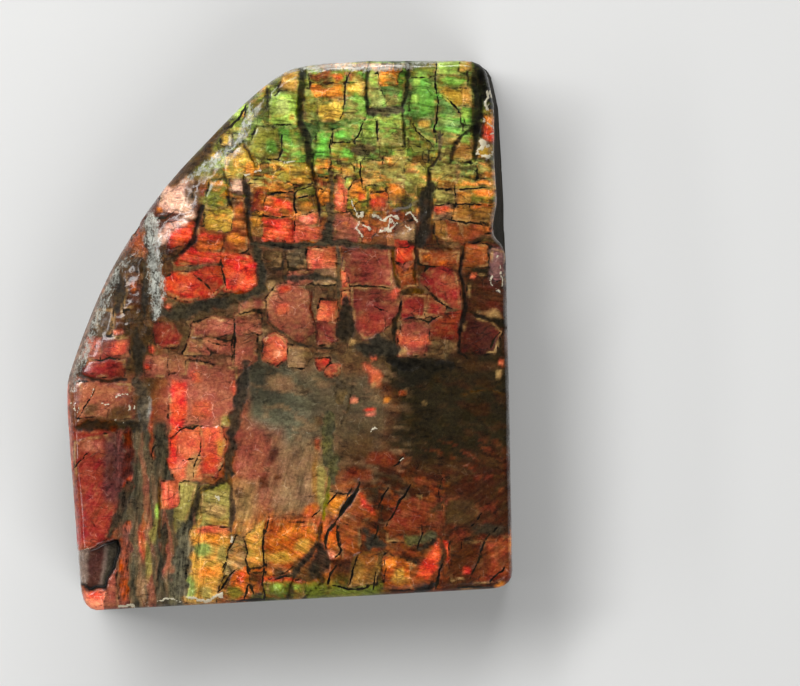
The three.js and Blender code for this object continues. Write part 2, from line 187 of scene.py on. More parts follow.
# Tiles of shell between the cracks, each with a dark seam round it
TILES = [
    # far left
    ("lime", -7.5, 21.1, -6.6, 22.1),
    ("lime", -5.9, 22.1, -4.7, 23.3),
    ("yellow", -6.7, 19.4, -5.9, 20.3),
    ("lime", -1.8, 21.4, 0.8, 21.4, 0.8, 24.3, -0.7, 24.5, -1.7, 23.8),
    ("amber", -0.8, 24.9, 0.8, 24.8, 0.8, 26.5, -0.3, 26.5),
    ("olive", -4, 18, -1, 17.9, -1, 20.8, -3.2, 20.9),
    ("leaf", -0.9, 17.6, 1.5, 17.6, 1.2, 20.9, -0.8, 21),
    # far end
    ("rust", 2.3, 25.5, 5.8, 26.9),
    ("orange", 2.3, 24, 5.6, 25.5),
    ("rust", 6, 25.4, 7.4, 26.9),
    ("amber", 5.9, 24, 7.6, 25.4),
    ("yellow", 3, 21.9, 5.3, 21.8, 5.6, 23.7, 3, 23.7),
    ("khaki", 5.6, 22, 7.6, 24),
    ("olive", 1.6, 21.9, 2.9, 24.7),
    ("lime", 8.2, 24.9, 9.2, 26.2),
    ("orange", 9.3, 25.2, 11.1, 26.8),
    ("sea", 9.3, 24.2, 11.4, 25.2),
    ("pale_lime", 8.3, 23.2, 9.6, 24.8),
    ("khaki", 9.7, 23.2, 10.8, 24.2),
    ("leaf", 10.9, 23.4, 11.5, 26.4),
    ("lime", 7.3, 20, 8.7, 19.9, 8.6, 21.9, 7.6, 22),
    ("lime", 8.9, 20.9, 11.3, 22.1),
    ("khaki", 8.9, 19.2, 11.2, 20.9),
    ("leaf", 2.7, 18, 4.2, 18, 4.3, 20.6, 2.9, 20.4),
    ("leaf", 4.5, 19.5, 6.4, 20.7),
    ("olive", 4.4, 17.8, 6.5, 19.4),
    ("olive", 12.2, 26, 14.7, 27.3),
    ("fern", 12.3, 21.7, 14.8, 26),
    ("lime", 15, 26.2, 17.1, 27.8),
    ("amber", 17.1, 26.7, 18, 27.9),
    ("olive", 15.1, 25, 17.9, 26.1),
    ("gold", 15.8, 23.4, 18.2, 23.2, 18.2, 24.9, 15.3, 24.9),
    ("leaf", 17.2, 21.6, 18.3, 21.4, 18.3, 23.1, 17.2, 23.2),
    ("sea", 15.2, 20.3, 17.2, 20.3, 17.1, 22.3, 16, 23.6, 15.1, 24),
    ("olive", 12.1, 19.1, 14.1, 19.1, 13, 20.5, 12.3, 21.4),
    ("sea", 13.3, 20, 14.7, 19.2, 14.7, 21.6, 13.2, 21.6),
    ("vermilion", 19.7, 19.9, 20.9, 21),
    ("orange", 19.8, 21.1, 20.9, 22.2),
    ("umber", 19.2, 18.1, 20.8, 19.6),
    ("ochre", 16.5, 17.9, 18.6, 19.6),
    ("khaki", 15.6, 19.4, 17, 20.3),
    ("khaki", 15.5, 18, 16.5, 19.2),
    # left shoulder
    # painted glare: a pale pink patch of reflected light on the left shoulder
    ("blush", -13, 13, -10, 12.6, -9.8, 15.4, -11.4, 16.4, -12.9, 15.2),
    ("rust", -16, 8, -14.8, 10.2),
    ("scarlet", -12.1, 9, -9.9, 9.4, -9.6, 11.4, -12.2, 11.4),
    ("rust", -9.6, 8, -7, 8.4, -6.6, 10.4, -9.1, 10.9),
    ("rust", -6.5, 8, -4.2, 8.6, -4.1, 10.6, -6.4, 10.4),
    ("scarlet", -11.2, 7.2, -7, 7.4, -7, 8.4, -10.4, 8.7),
    ("gold", -6.3, 15.9, -3.4, 15.8, -3.2, 18.2, -4.6, 19.1, -6.1, 18),
    ("olive", -8.3, 12.8, -6.3, 13, -6.2, 15.5, -7.8, 15.6),
    ("gold", -8.4, 10.6, -6, 10.5, -5.7, 13, -8.2, 12.7),
    ("rust", -5.7, 10.8, -4.5, 10.8, -4.6, 13.6, -5.5, 13.6),
    ("ochre", -3.9, 10.2, -2.7, 10.2, -2.7, 12.1, -3.8, 12.2),
    ("blood", -3.9, 12.8, -2.6, 15),
    # upper middle
    ("scarlet", -2.4, 12.1, 0.3, 12.1, 0.3, 14.2, -2.3, 13.9),
    ("scarlet", -2.5, 9.6, 0.3, 9.6, 0.3, 12, -2.5, 12),
    ("orange", -2, 14.5, 0.3, 14.6, 0.3, 15.5, -1.9, 15.5),
    ("gold", -1.6, 15.6, 2.2, 15.3, 2.1, 17.4, -1.6, 17.5),
    ("olive", 0.7, 13.9, 2.6, 14.2, 2.4, 15.1, 0.8, 14.6),
    ("ochre", 0.7, 12.4, 2.7, 12.4, 2.6, 13.8, 0.7, 13.6),
    ("coral", 0.6, 11.1, 2.8, 12.2),
    ("coral", 0.5, 9.6, 3.2, 9.6, 3.1, 11, 0.6, 11),
    ("orange", 2.9, 17, 4, 18.2),
    ("fern", 3.2, 16.2, 3.9, 16.9),
    ("orange", 3.2, 13, 4.3, 14.6),
    ("khaki", 3.2, 12.1, 4, 12.9),
    ("coral", 4.7, 12.9, 5.7, 12.7, 5.6, 15.4, 4.9, 16.2),
    ("amber", 5.4, 15.9, 6.3, 17),
    ("lime", 5.6, 14.9, 6.4, 15.8),
    ("orange", 6.2, 14.1, 7.5, 15.4),
    ("rose", 4.8, 9.4, 7.2, 9.3, 7.4, 11.2, 6.2, 12.4, 5, 12.2),
    ("scarlet", 8.3, 12.8, 9.7, 14.2),
    ("khaki", 7.6, 15.2, 9.4, 17.4),
    ("khaki", 9.6, 15.4, 11.6, 17.8),
    ("ochre", 9.9, 13.6, 11.4, 15.2),
    # upper right
    ("khaki", 14.3, 15.6, 16.9, 17.6),
    ("sea", 17.2, 16.2, 18.9, 17.3),
    ("ochre", 15, 14.9, 16.6, 15.6),
    ("olive", 17, 14.9, 18.7, 16),
    ("khaki", 19.1, 14.9, 20.8, 15.7),
    ("ochre", 19.3, 15.9, 20.8, 17.2),
    ("khaki", 14.7, 13.3, 16.6, 14.4),
    ("ochre", 17, 13.3, 18.3, 14.6),
    ("olive", 18.4, 13.1, 20.5, 14.6),
    ("clay", 14.6, 11.9, 16.4, 13.2),
    ("ochre", 16.8, 11.7, 18.1, 13.1),
    ("ochre", 18.3, 11.4, 20.5, 12.8),
    ("ochre", 14.9, 9.8, 16, 11.4),
    ("rust", 16, 9.8, 17.2, 11.5),
    ("rust", 17.5, 9.3, 20.1, 10.5, 19, 11.2, 17.4, 11.3),
    ("rust", 17.8, 7, 19.8, 9),
    ("mauve", 20.1, 4.9, 21.4, 5, 21.7, 8.4, 20.3, 8.6),
    ("clay", 11, 9.7, 12.6, 11.4),
    ("scarlet", 11, 8.9, 11.9, 9.6),
    ("scarlet", 11.1, 7.3, 12.6, 8.7),
    ("rust", 13.3, 7.2, 17, 7, 17.1, 8.3, 13.3, 8.4),
    # row below the long vein
    ("hazel", -2.4, 7, -1, 8.2),
    ("taupe", 0, 7, 1.5, 8.6),
    ("coral", 1.9, 6.9, 4.6, 6.9, 4.5, 8.6, 2, 8.7),
    ("garnet", 5.3, 5.1, 10.2, 5, 10.1, 8.8, 5.6, 8.7),
    ("brick", 11.1, 5.1, 12.6, 7.3),
    ("rose", 0, 5.4, 2.2, 6.4),
    ("clay", 2.6, 5.2, 4.5, 6.5),
    # left middle
    ("burnt", -16.7, 2.6, -15.2, 2.7, -15, 6, -16.4, 6.2),
    ("burnt", -17.8, -0.2, -16.8, -0.2, -16.9, 2.4, -17.4, 5),
    ("garnet", -19, -2.2, -16.3, -2.1, -16.4, -0.4, -18.8, -0.4),
    ("rose", -21.3, -2.3, -19.2, -2.3, -19.2, -0.4, -20.8, -0.3),
    ("crimson", -20.6, -3.8, -16.7, -4, -16.6, -2.6, -20.4, -2.4),
    ("umber", -19.4, 0.2, -17.9, 2.6),
    ("crimson", -13.4, 1, -11.8, 1.1, -10.9, 0, -11.3, -1, -13.1, -1.1),
    ("rose", -14.4, -4, -12.4, -2.2),
    ("scarlet", -12.6, 4.4, -11, 3.5, -8.7, 3.6, -7.7, 4, -6.6, 5, -6.7, 6.9, -9.7, 6.3,
     -11.5, 6.1, -12.5, 5.5),
    ("flame", -6.5, 4.5, -4.5, 4.3, -3.5, 5, -3.6, 7.1, -4, 7.9, -5.4, 8.1, -6.5, 7.5),
    ("rose", -9.8, 0, -7.4, -0.1, -5.7, 0.4, -5.8, 1.5, -7.6, 1.6, -9.6, 1.2),
    ("rose", -5.1, 2.3, -2.5, 2.9, -2.6, 3.3, -5, 3.1),
    ("brick", -5.5, 0.3, -3, 2.1),
    ("rose", -10, -0.3, -8.9, -1.1, -8.3, -1.9, -10.5, -1.8),
    ("rose", -8.7, -0.6, -6, -0.7, -5.8, -2, -8, -1.5),
    ("brick", -5.6, 0, -3.4, 0.1, -3.3, -2.6, -4.3, -3.3, -5.5, -3.2),
    # middle
    ("coral", -2.5, -0.4, -1.4, 0.2, -0.4, -0.6, -0.3, -2.2, -1.2, -2.9, -2.4, -2.5),
    ("brick", -2.4, 3.6, -1.3, 5.1, 0.4, 5.2, 1.9, 4.4, 2.2, 2.6, 2.4, 0.6, 1, -0.5, -0.7, 0.2, -2.1, 1.5),
    ("coral", 3.1, 1.7, 4.7, 1.7, 4.7, 3.3, 3.2, 3.4),
    ("garnet", 3, -0.7, 4.8, -0.5, 4.7, 1.5, 3.1, 1.6),
    ("coral", 5.1, 4.6, 6, 6.6),
    ("coral", 5.4, 3.1, 6, 4.2),
    ("garnet", 6.4, 4.7, 10.5, 4.8, 10.9, 3.5, 10.6, 2.3, 9.9, 1.2, 8.3, 0, 7.3, -0.2, 6.7, 0.7, 6.5, 2.7),
    ("scarlet", 3, -3.4, 3.8, -2.4),
    ("coral", 3.7, -3.9, 4.9, -3.1),
    ("clay", 0, -3, 1.4, -1.1),
    # right middle
    ("crimson", 13.4, 5.4, 15, 4, 16, 3.1, 17, 2.9, 17.2, 4.8, 16.8, 6.2, 15.8, 6.8, 14.2, 6.8, 13.5, 6.1),
    ("rust", 11, 5, 12.7, 7.2),
    ("crimson", 11.3, 1.7, 13.4, 1.8, 13.6, 3.9, 11.4, 3.9),
    ("crimson", 13.6, 2, 15.2, 2.2, 15.6, 3.2, 14, 4),
    ("blood", 14.2, -0.3, 17.2, -0.2, 17.2, 2.4, 15, 2, 14.1, 1.3),
    ("garnet", 11, -1.9, 13.8, -1.8, 14.2, 1.1, 11.5, 1.3),
    ("dusk", 18.1, 2.6, 21.6, 2, 21.7, 5.9, 18.2, 6),
    ("maroon", 17.7, -1.5, 20.6, -1.6, 21.4, 0.4, 20.4, 1.6, 17.9, 2),
    # lower left
    ("brick", -21.2, -8, -15.8, -8.2, -15.9, -5, -21, -4.6),
    ("crimson", -21.6, -10.8, -18.6, -10.1, -15.8, -15.3, -17.4, -18.2, -18.6, -20.4,
     -19.8, -21.2, -21.9, -21.4),
    ("salmon", -21, -26, -18.7, -25.9, -18.6, -27.7, -20.8, -27.9),
    ("rose", -18.6, -24.8, -17.7, -23.8, -17.4, -27.7, -18.5, -27.7),
    # columns of the lower left
    ("rose", -12.2, -3.9, -10.4, -3.9, -10.2, -2.6, -5.2, -3.4, -5.2, -6.2, -5.9, -9, -12, -9.1),
    ("coral", -11.8, -9.4, -8.8, -9, -8.9, -14.4, -11.2, -14.9, -11.8, -13),
    ("coral", -8.7, -9, -6.7, -9, -6.7, -12.6, -7.4, -14.3, -8.7, -14),
    ("coral", -13, -14.8, -11.2, -14.9, -11, -17.4, -12.9, -17.4),
    ("khaki", -8.6, -15.4, -6, -14.8, -6, -19.2, -9.1, -19.3),
    ("khaki", -11, -15, -9.2, -15.2, -9.8, -17.4, -10.9, -19.8, -11.4, -19.6),
    # near end
    ("amber", -9.5, -19.4, -6, -19.4, -6.6, -23.6, -7.6, -27, -10.5, -26.8, -10.1, -23.4),
    ("tan", -5.6, -20.3, -4.6, -20.6, -4.3, -23.2, -5.8, -24.1, -6.7, -24),
    ("tangerine", -5.7, -24, -4.2, -23.3, -4, -26.2, -4.7, -26.9, -6.5, -26.7),
    ("amber", -4.3, -20.2, -2.7, -18.8, -2.6, -23, -4.1, -23.4),
    ("rust", -3.8, -24.1, -2.7, -24, -2.7, -26, -3.5, -26),
    ("tangerine", -2.3, -19, 2.7, -19.2, 3, -20.4, 1.5, -22.6, -0.5, -23.8, -2.2, -24.2),
    ("moss", -2, -24.8, -0.1, -24.5, -0.5, -26.7, -2.1, -26.5),
    ("olive", 0, -24.9, 1.5, -24.8, 1.4, -26.3, -0.1, -26.8),
    ("orange", 4.1, -15.8, 6.2, -16.1, 4.7, -18.1, 3.9, -17.6),
    ("tangerine", 4, -20, 4.9, -19.6, 5, -21.4, 5.3, -21.9, 4.5, -22.6, 3.7, -22),
    ("rust", 5.3, -19.2, 7, -19.4, 7, -22, 5.6, -22.4),
    ("ochre", 6.9, -22.2, 9.5, -22.1, 8.5, -25, 6, -25.1),
    ("tangerine", 9.5, -22.2, 12.2, -22.8, 12.2, -25.4, 9.6, -25.3),
    ("rust", 15.1, -20.4, 15.2, -22.3, 14.8, -24.2, 13.3, -25.4, 12, -25, 12.3, -23.4, 14, -21.6),
    ("burnt", 9.6, -15.8, 13.2, -16, 13.2, -20.6, 9.8, -20.8),
    ("burnt", 16.3, -20.9, 19.5, -20.9, 18.4, -24.6, 16.3, -24.8),
    ("russet", 20, -20.8, 22.4, -20, 22.5, -24.6, 18.7, -24.9),
]

# Smaller touches of colour inside the tiles and between them; a box is filled by a rounded spot
TOUCHES = [
    ("yellow", 3.2, 22, 5.3, 23.5),
    ("orange", 2.5, 24.2, 5.4, 25.2),
    ("yellow", 6, 24.4, 7.5, 25.2),
    ("emerald", 2.9, 18.6, 4, 20.2),
    ("emerald", 4.6, 20, 6, 20.6),
    ("leaf", 13, 22, 14.6, 25.6),
    ("gold", 15.8, 23.6, 18, 24.8),
    ("ochre", 16.6, 18, 18.7, 19.5),
    ("vermilion", 19.6, 19.8, 21, 21.6),
    ("orange", 19.6, 21.2, 21, 22.3),
    ("gold", 19.4, 18.2, 20.6, 19.5),
    ("orange", 16.8, 15.1, 20.8, 15.5),
    ("scarlet", 18.6, 14.1, 20.8, 14.6),
    ("scarlet", 14.6, 12.3, 16, 13.1),
    ("tangerine", 18.6, 12.8, 20.6, 13.2),
    # painted glare: a pale pink band of reflected light on the left shoulder
    ("blush", -13.6, 9.8, -12.2, 11.4, -9.2, 12.7, -9.6, 12, -12, 10.2, -12.8, 9.3),
    ("amber", -4.9, 22, -4.4, 22.6),
    ("amber", -3, 24.7, -2.3, 25.3),
    ("gold", -4.2, 23.4, -3.5, 24),
    ("vermilion", 4.6, 25.7, 5.6, 26.4),
    ("amber", 0.1, 21.6, 0.7, 22.4),
    ("pale_lime", -1.2, 22.3, 0.1, 23.7),
    ("leaf", -2.2, 18.3, -1.2, 19.6),
    ("emerald", 5.3, 17.9, 6.5, 18.7),
    ("lime", 12.5, 25.2, 13.4, 26),
    ("lime", 12.2, 23.2, 13, 24.4),
    ("lime", 17.3, 21.9, 18.1, 22.9),
    ("amber", 17.4, 23.5, 18.2, 24.8),
    ("amber", 13.2, 20.8, 14.3, 21.5),
    ("yellow", -5.4, 17.2, -4.2, 18.4),
    ("orange", -4.4, 16.2, -3.5, 17.4),
    ("olive", -6.1, 16.4, -5.5, 17.6),
    ("orange", -13.4, 12.5, -12.9, 13),
    ("vermilion", -1.8, 12.8, 0.1, 13.6),
    ("vermilion", -2.2, 10, -0.2, 11.6),
    ("salmon", 0.9, 11.3, 2.4, 12),
    ("orange", 10, 17.2, 11.2, 18),
    ("orange", 10.1, 14.3, 11, 15.1),
    ("scarlet", 6.9, 13.6, 7.6, 14.4),
    ("orange", 18.5, 14, 20.8, 14.6),
    ("tangerine", 19.6, 10.1, 20.3, 10.8),
    ("orange", 13.3, 7.6, 14.5, 8.1),
    ("tangerine", 15.2, 7.1, 16.3, 7.6),
    ("tangerine", -16.1, 4.4, -15.6, 5.4),
    ("orange", -18.8, 5.1, -18.2, 5.7),
    ("orange", -19.2, 4.3, -18.6, 4.9),
    ("coral", -13, 3.4, -12.5, 3.9),
    ("coral", -12.6, 2.3, -12, 2.9),
    ("coral", -18, -1.9, -16.5, -0.7),
    ("coral", -18, 0, -16.9, 0.5),
    ("scarlet", -14.2, -1.7, -13.5, -1.1),
    ("scarlet", -14.7, -3.5, -14.1, -3),
    ("blood", -9.8, 6.1, -8.6, 6.3, -7, 4.7, -8, 4.2),
    ("coral", -11.6, 4, -10.2, 5.2),
    ("coral", -6, 5, -4.4, 6.4),
    ("tan", -2.4, 4.6, -1.4, 5.4),
    ("scarlet", -1.1, 4.4, 0.1, 5.1),
    ("salmon", -1.5, -2.4, -0.6, -1.5),
    ("coral", -1.4, 2.3, 0, 3.3),
    ("crimson", 7, 0.4, 9.6, 2.4),
    ("coral", 10.3, 4.2, 10.9, 4.8),
    ("coral", 3.3, 2.2, 4.4, 3),
    ("coral", 18.3, 5.8, 18.8, 6.3),
    ("tan", 20, 1.8, 21.4, 2.5),
    ("scarlet", -9.6, 9.6, -6.8, 10.3),
    ("tangerine", -9.4, 8.5, -6.6, 9.4),
    ("orange", -6.2, 9.3, -4.4, 10.1),
    ("scarlet", -8.6, 7.4, -4.4, 8.2),
    ("vermilion", -11.9, 9.6, -9.8, 10.6),
    ("coral", 11, -0.8, 11, 0.5, 12.4, -0.2, 14, 0, 14.2, -0.9, 12.4, -1),
    ("tan", 10.9, -1.8, 11.8, -1.2),
    ("tan", 6.1, -1.2, 6.8, -0.5),
    ("coral", 7.5, -2.7, 8.2, -2.8, 9.2, -4, 9, -4.9, 8.3, -4.7, 7.9, -3.6),
    ("tan", 8.3, -4.9, 8.9, -4.4),
    ("pitch", 10.2, -2.3, 12, -1.9, 14.2, -2.2, 16, -3, 14.2, -4.6, 11, -5),
    ("coral", 8.2, -2.5, 8.8, -1.8),
    ("coral", 21.1, -3.2, 21.7, -2.6),
    ("tan", 20.9, -4.3, 21.6, -3.6),
    ("clay", -2.2, -5.7, 0.4, -4),
    ("orange", 9.4, -6.5, 10, -5.9),
    ("salmon", 6.4, -7, 7.1, -6.3),
    ("vermilion", 7.7, -7.8, 8.5, -7.3),
    ("salmon", 7.6, -8.4, 8.5, -7.9),
    ("tan", 13.6, -6.9, 14.1, -6.5),
    ("rust", 11, -6, 11.7, -5.4),
    ("hazel", 2.3, -9, 3.1, -8.3),
    ("ember", 7.9, -13, 10.8, -11.5),
    ("russet", 2.4, -11.6, 3.2, -10.4),
    ("ochre", 2.3, -17.2, 2.9, -12),
    ("khaki", 2.8, -17.6, 3.5, -12.8),
    ("tangerine", 1.6, -18.4, 2.9, -17),
    ("maroon", -2.4, -12.9, -1, -11.2),
    ("burnt", -3, -15.4, -1.8, -14),
    ("burnt", -1.3, -14.8, -0.6, -13.9),
    ("vermilion", 15.6, -20.7, 15.9, -20.7, 16.1, -23.2, 15.8, -23.2),
    ("vermilion", 6.8, -15.9, 7.2, -16, 8.8, -17.8, 8.6, -18.1, 7.4, -17),
    ("ember", 9.8, -20.4, 10.6, -17, 12.4, -15.9, 14.2, -17, 14, -19, 11.8, -19.6),
    ("ember", 5.4, -13.4, 8.4, -14.6),
    ("umber", 15.8, -19, 16.2, -16.6, 18.4, -16.6, 19.4, -17.6, 18, -19.2),
    ("moor", 18.2, -20.1, 22.2, -18.8),
    ("burnt", 15.8, -24.6, 20.4, -21.2),
    ("vermilion", 15.1, -20.6, 15, -23.4, 13.8, -24.6, 12.6, -24.4, 13.4, -22.6),
    ("scarlet", 17.4, -24.2, 18.3, -23.6),
    ("orange", 22.2, -22, 22.6, -19.6),
    ("orange", 21, -25.6, 21.8, -25.1),
    ("ochre", 17.2, -26.1, 19.2, -25.6),
    ("crimson", -21.2, -16.8, -19.8, -10.6),
    ("blood", -21.5, -17, -20.4, -15),
    ("plum", -18.9, -17, -16.4, -9.8),
    ("maroon", -18.4, -15.4, -17.4, -12.4),
    ("crimson", -21.2, -21, -19.2, -18.2),
    ("rose", -21, -11.8, -18.8, -10.6),
    ("coral", -16.7, -15.9, -15.9, -13.9),
    ("vermilion", -20.2, -26.6, -18.9, -25.9),
    ("coral", -15.1, -22.6, -14.3, -19),
    ("lime", -13.7, -18.6, -13.1, -17),
    ("khaki", -13.9, -21, -13.2, -18.6),
    ("khaki", -14.6, -24.6, -14, -21),
    ("clay", -15.4, -27, -14.4, -24.4),
    ("rose", -13, -24.2, -12.2, -20.9),
    ("russet", -13.8, -12.6, -14, -7.8, -13.6, -7.7, -13.4, -12.4),
    ("rust", -14.9, -22.6, -14.6, -17.4),
    # painted glare on a crumpled patch
    ("glare_silver", -15.2, -8.9, -13.9, -6.4),
    ("umber", -18.4, -8.4, -16, -6.9),
    ("hazel", -20.8, -7.9, -19.4, -6.9),
    ("umber", -10.5, 13.4, -9, 15.6),
    ("scarlet", -18.2, -9.6, -17.5, -8.9),
    ("salmon", -11.8, -13.9, -10.6, -12.2),
    ("tan", -10.2, -14.8, -9, -11.8),
    ("scarlet", -8.6, -13.9, -7.3, -12),
    ("amber", -7.3, -12.2, -6.7, -10.6),
    ("flame", -12.1, -4.4, -10.3, -4.6, -10.4, -8.4, -11.3, -10, -11.3, -13.6, -12.1, -13),
    ("coral", -9.8, -8.4, -7.6, -6.4),
    ("coral", -9.8, -4.7, -8.8, -3.5),
    ("coral", -5.7, -6, -5.1, -4.6),
    ("khaki", -6.7, -9.1, -5.8, -8),
    ("coral", -9.2, -19.9, -6.1, -19.3),
    ("tan", -8.6, -18.4, -6.4, -17),
    ("ochre", -8.2, -19.2, -6.2, -18.5),
    ("olive", -8, -15.6, -6.2, -15),
    ("khaki", -7.6, -22.9, -6.4, -21.2),
    ("sea", -9.5, -22.4, -7.8, -21),
    ("sea", -10.3, -26.6, -9.4, -24),
    ("coral", -9.4, -20.2, -6.4, -19.3),
    ("orange", -9, -24.4, -6.9, -23.2),
    ("orange", -9.2, -21, -7, -20.2),
    ("khaki", -9, -26.6, -7.6, -25.2),
    # painted glare: a pale pink band of reflected light along the far edge
    ("blush", 2.4, 26.8, 11.6, 27.5),
    ("umber", -10, 16.9, -8.4, 17.4, -7.1, 19.9, -7.6, 20.9, -8.8, 19.8),
    ("blush", -6, 14.5, -5.4, 15.5, -3.9, 15.9, -4.2, 14.9, -5.2, 14.2),
    ("vermilion", -4.9, -24.8, -4.3, -23.7),
    ("orange", -1.2, -20.4, 0.6, -19.4),
    ("orange", 9.7, -23.2, 10.8, -22.4),
    ("ochre", 10.6, -25.2, 12.2, -24.2),
    ("amber", 10.4, -24.6, 11.6, -23.4),
    ("khaki", 10.4, 17.2, 11.6, 18.6),
    ("olive", 12, 18.2, 13.6, 19.2),
    ("ochre", 12.4, 17, 13.6, 17.9),
    ("brick", -5.3, -14.6, -2.2, -9.8),
    ("amber", 0.6, -21.8, 2.4, -20.6),
    ("gold", -2.2, -23, 0.6, -22),
    ("salmon", 3.8, -22.6, 4.8, -21.9),
    ("scarlet", 3.6, -24.8, -3, -24.9, -3.6, -24.1),
    ("olive", 4.2, -27, 7.6, -26),
    ("lime", -1.6, -25.6, -0.9, -25.1),
    ("lime", 0.5, -25.5, 1, -25.1),
    ("umber", 0.2, -24.8, 3, -22.4),
    ("umber", -4, -24.9, -2.4, -23.9),
    ("moor", -3.8, -27.2, -2.6, -26.2),
    ("olive", -6.3, -26.6, -4.6, -25.4),
    ("moor", -0.2, -26.6, 0.5, -25.2),
    ("moss", 1.6, -26.8, 3.8, -25.2),
    ("umber", -1.8, -24.7, -0.4, -23.4),
    ("moor", 2, -24.6, 3.2, -23),
]

# Scattered small patches: colour, strength, size, then the box or patch
MOTTLES = [
    ("moss", 0.55, 0.9, -9, 12, 22, 28.5),
    ("orange", 0.5, 0.7, -8, 11, 21, 18.5),
    ("amber", 0.3, 0.6, -7, 14, 21, 27.5),
    ("emerald", 0.55, 0.8, 2, 17.4, 18.6, 27.5),
    ("pale_lime", 0.35, 0.4, -8, 15, 20, 28),
    ("fern", 0.6, 0.5, 1.6, 17, 18.4, 27.5),
    ("umber", 0.8, 0.5, -10, 11, 22, 19.5),
    ("umber", 0.5, 0.6, -9, 18, 19, 27.5),
    ("tan", 0.18, 0.5, -14, -3.4, 17.4, 9),
    ("blood", 0.2, 0.8, -13, -2, 21.6, 13),
    ("umber", 0.2, 0.6, -21, -4, 21.6, 11),
    ("tan", 0.15, 0.45, -22, -21, -16.6, -5),
    ("maroon", 0.3, 1, -22, -21, -16.6, -5),
    ("moss", 0.35, 0.7, -10.4, -27.4, 4, -19),
    ("orange", 0.3, 0.6, -10, -25, 4, -18),
    ("rust", 0.5, 0.6, -4, -27, 4, -18),
    ("umber", 0.6, 0.7, -9, -27.6, 4, -22.4),
    ("tangerine", 0.25, 1, 3, -26, 16, -14),
    ("umber", 0.5, 1, 5, -26, 22.6, -12),
    ("peat", 0.45, 0.8, 3, -27, 22.6, -12),
    ("moor", 0.45, 1.1, -3, -28, 22.6, -20),
    ("russet", 0.35, 0.9, 11, -21, 22, -10.5),
    ("clay", 0.45, 0.9, -4, -19, 12, -3),
    ("moor", 0.5, 1.2, -5, -19, 12, -3),
    ("dusk", 0.45, 1.3, 10, -14, 22.6, -4.6),
    ("umber", 0.25, 0.6, 9, -14, 22, -4),
]

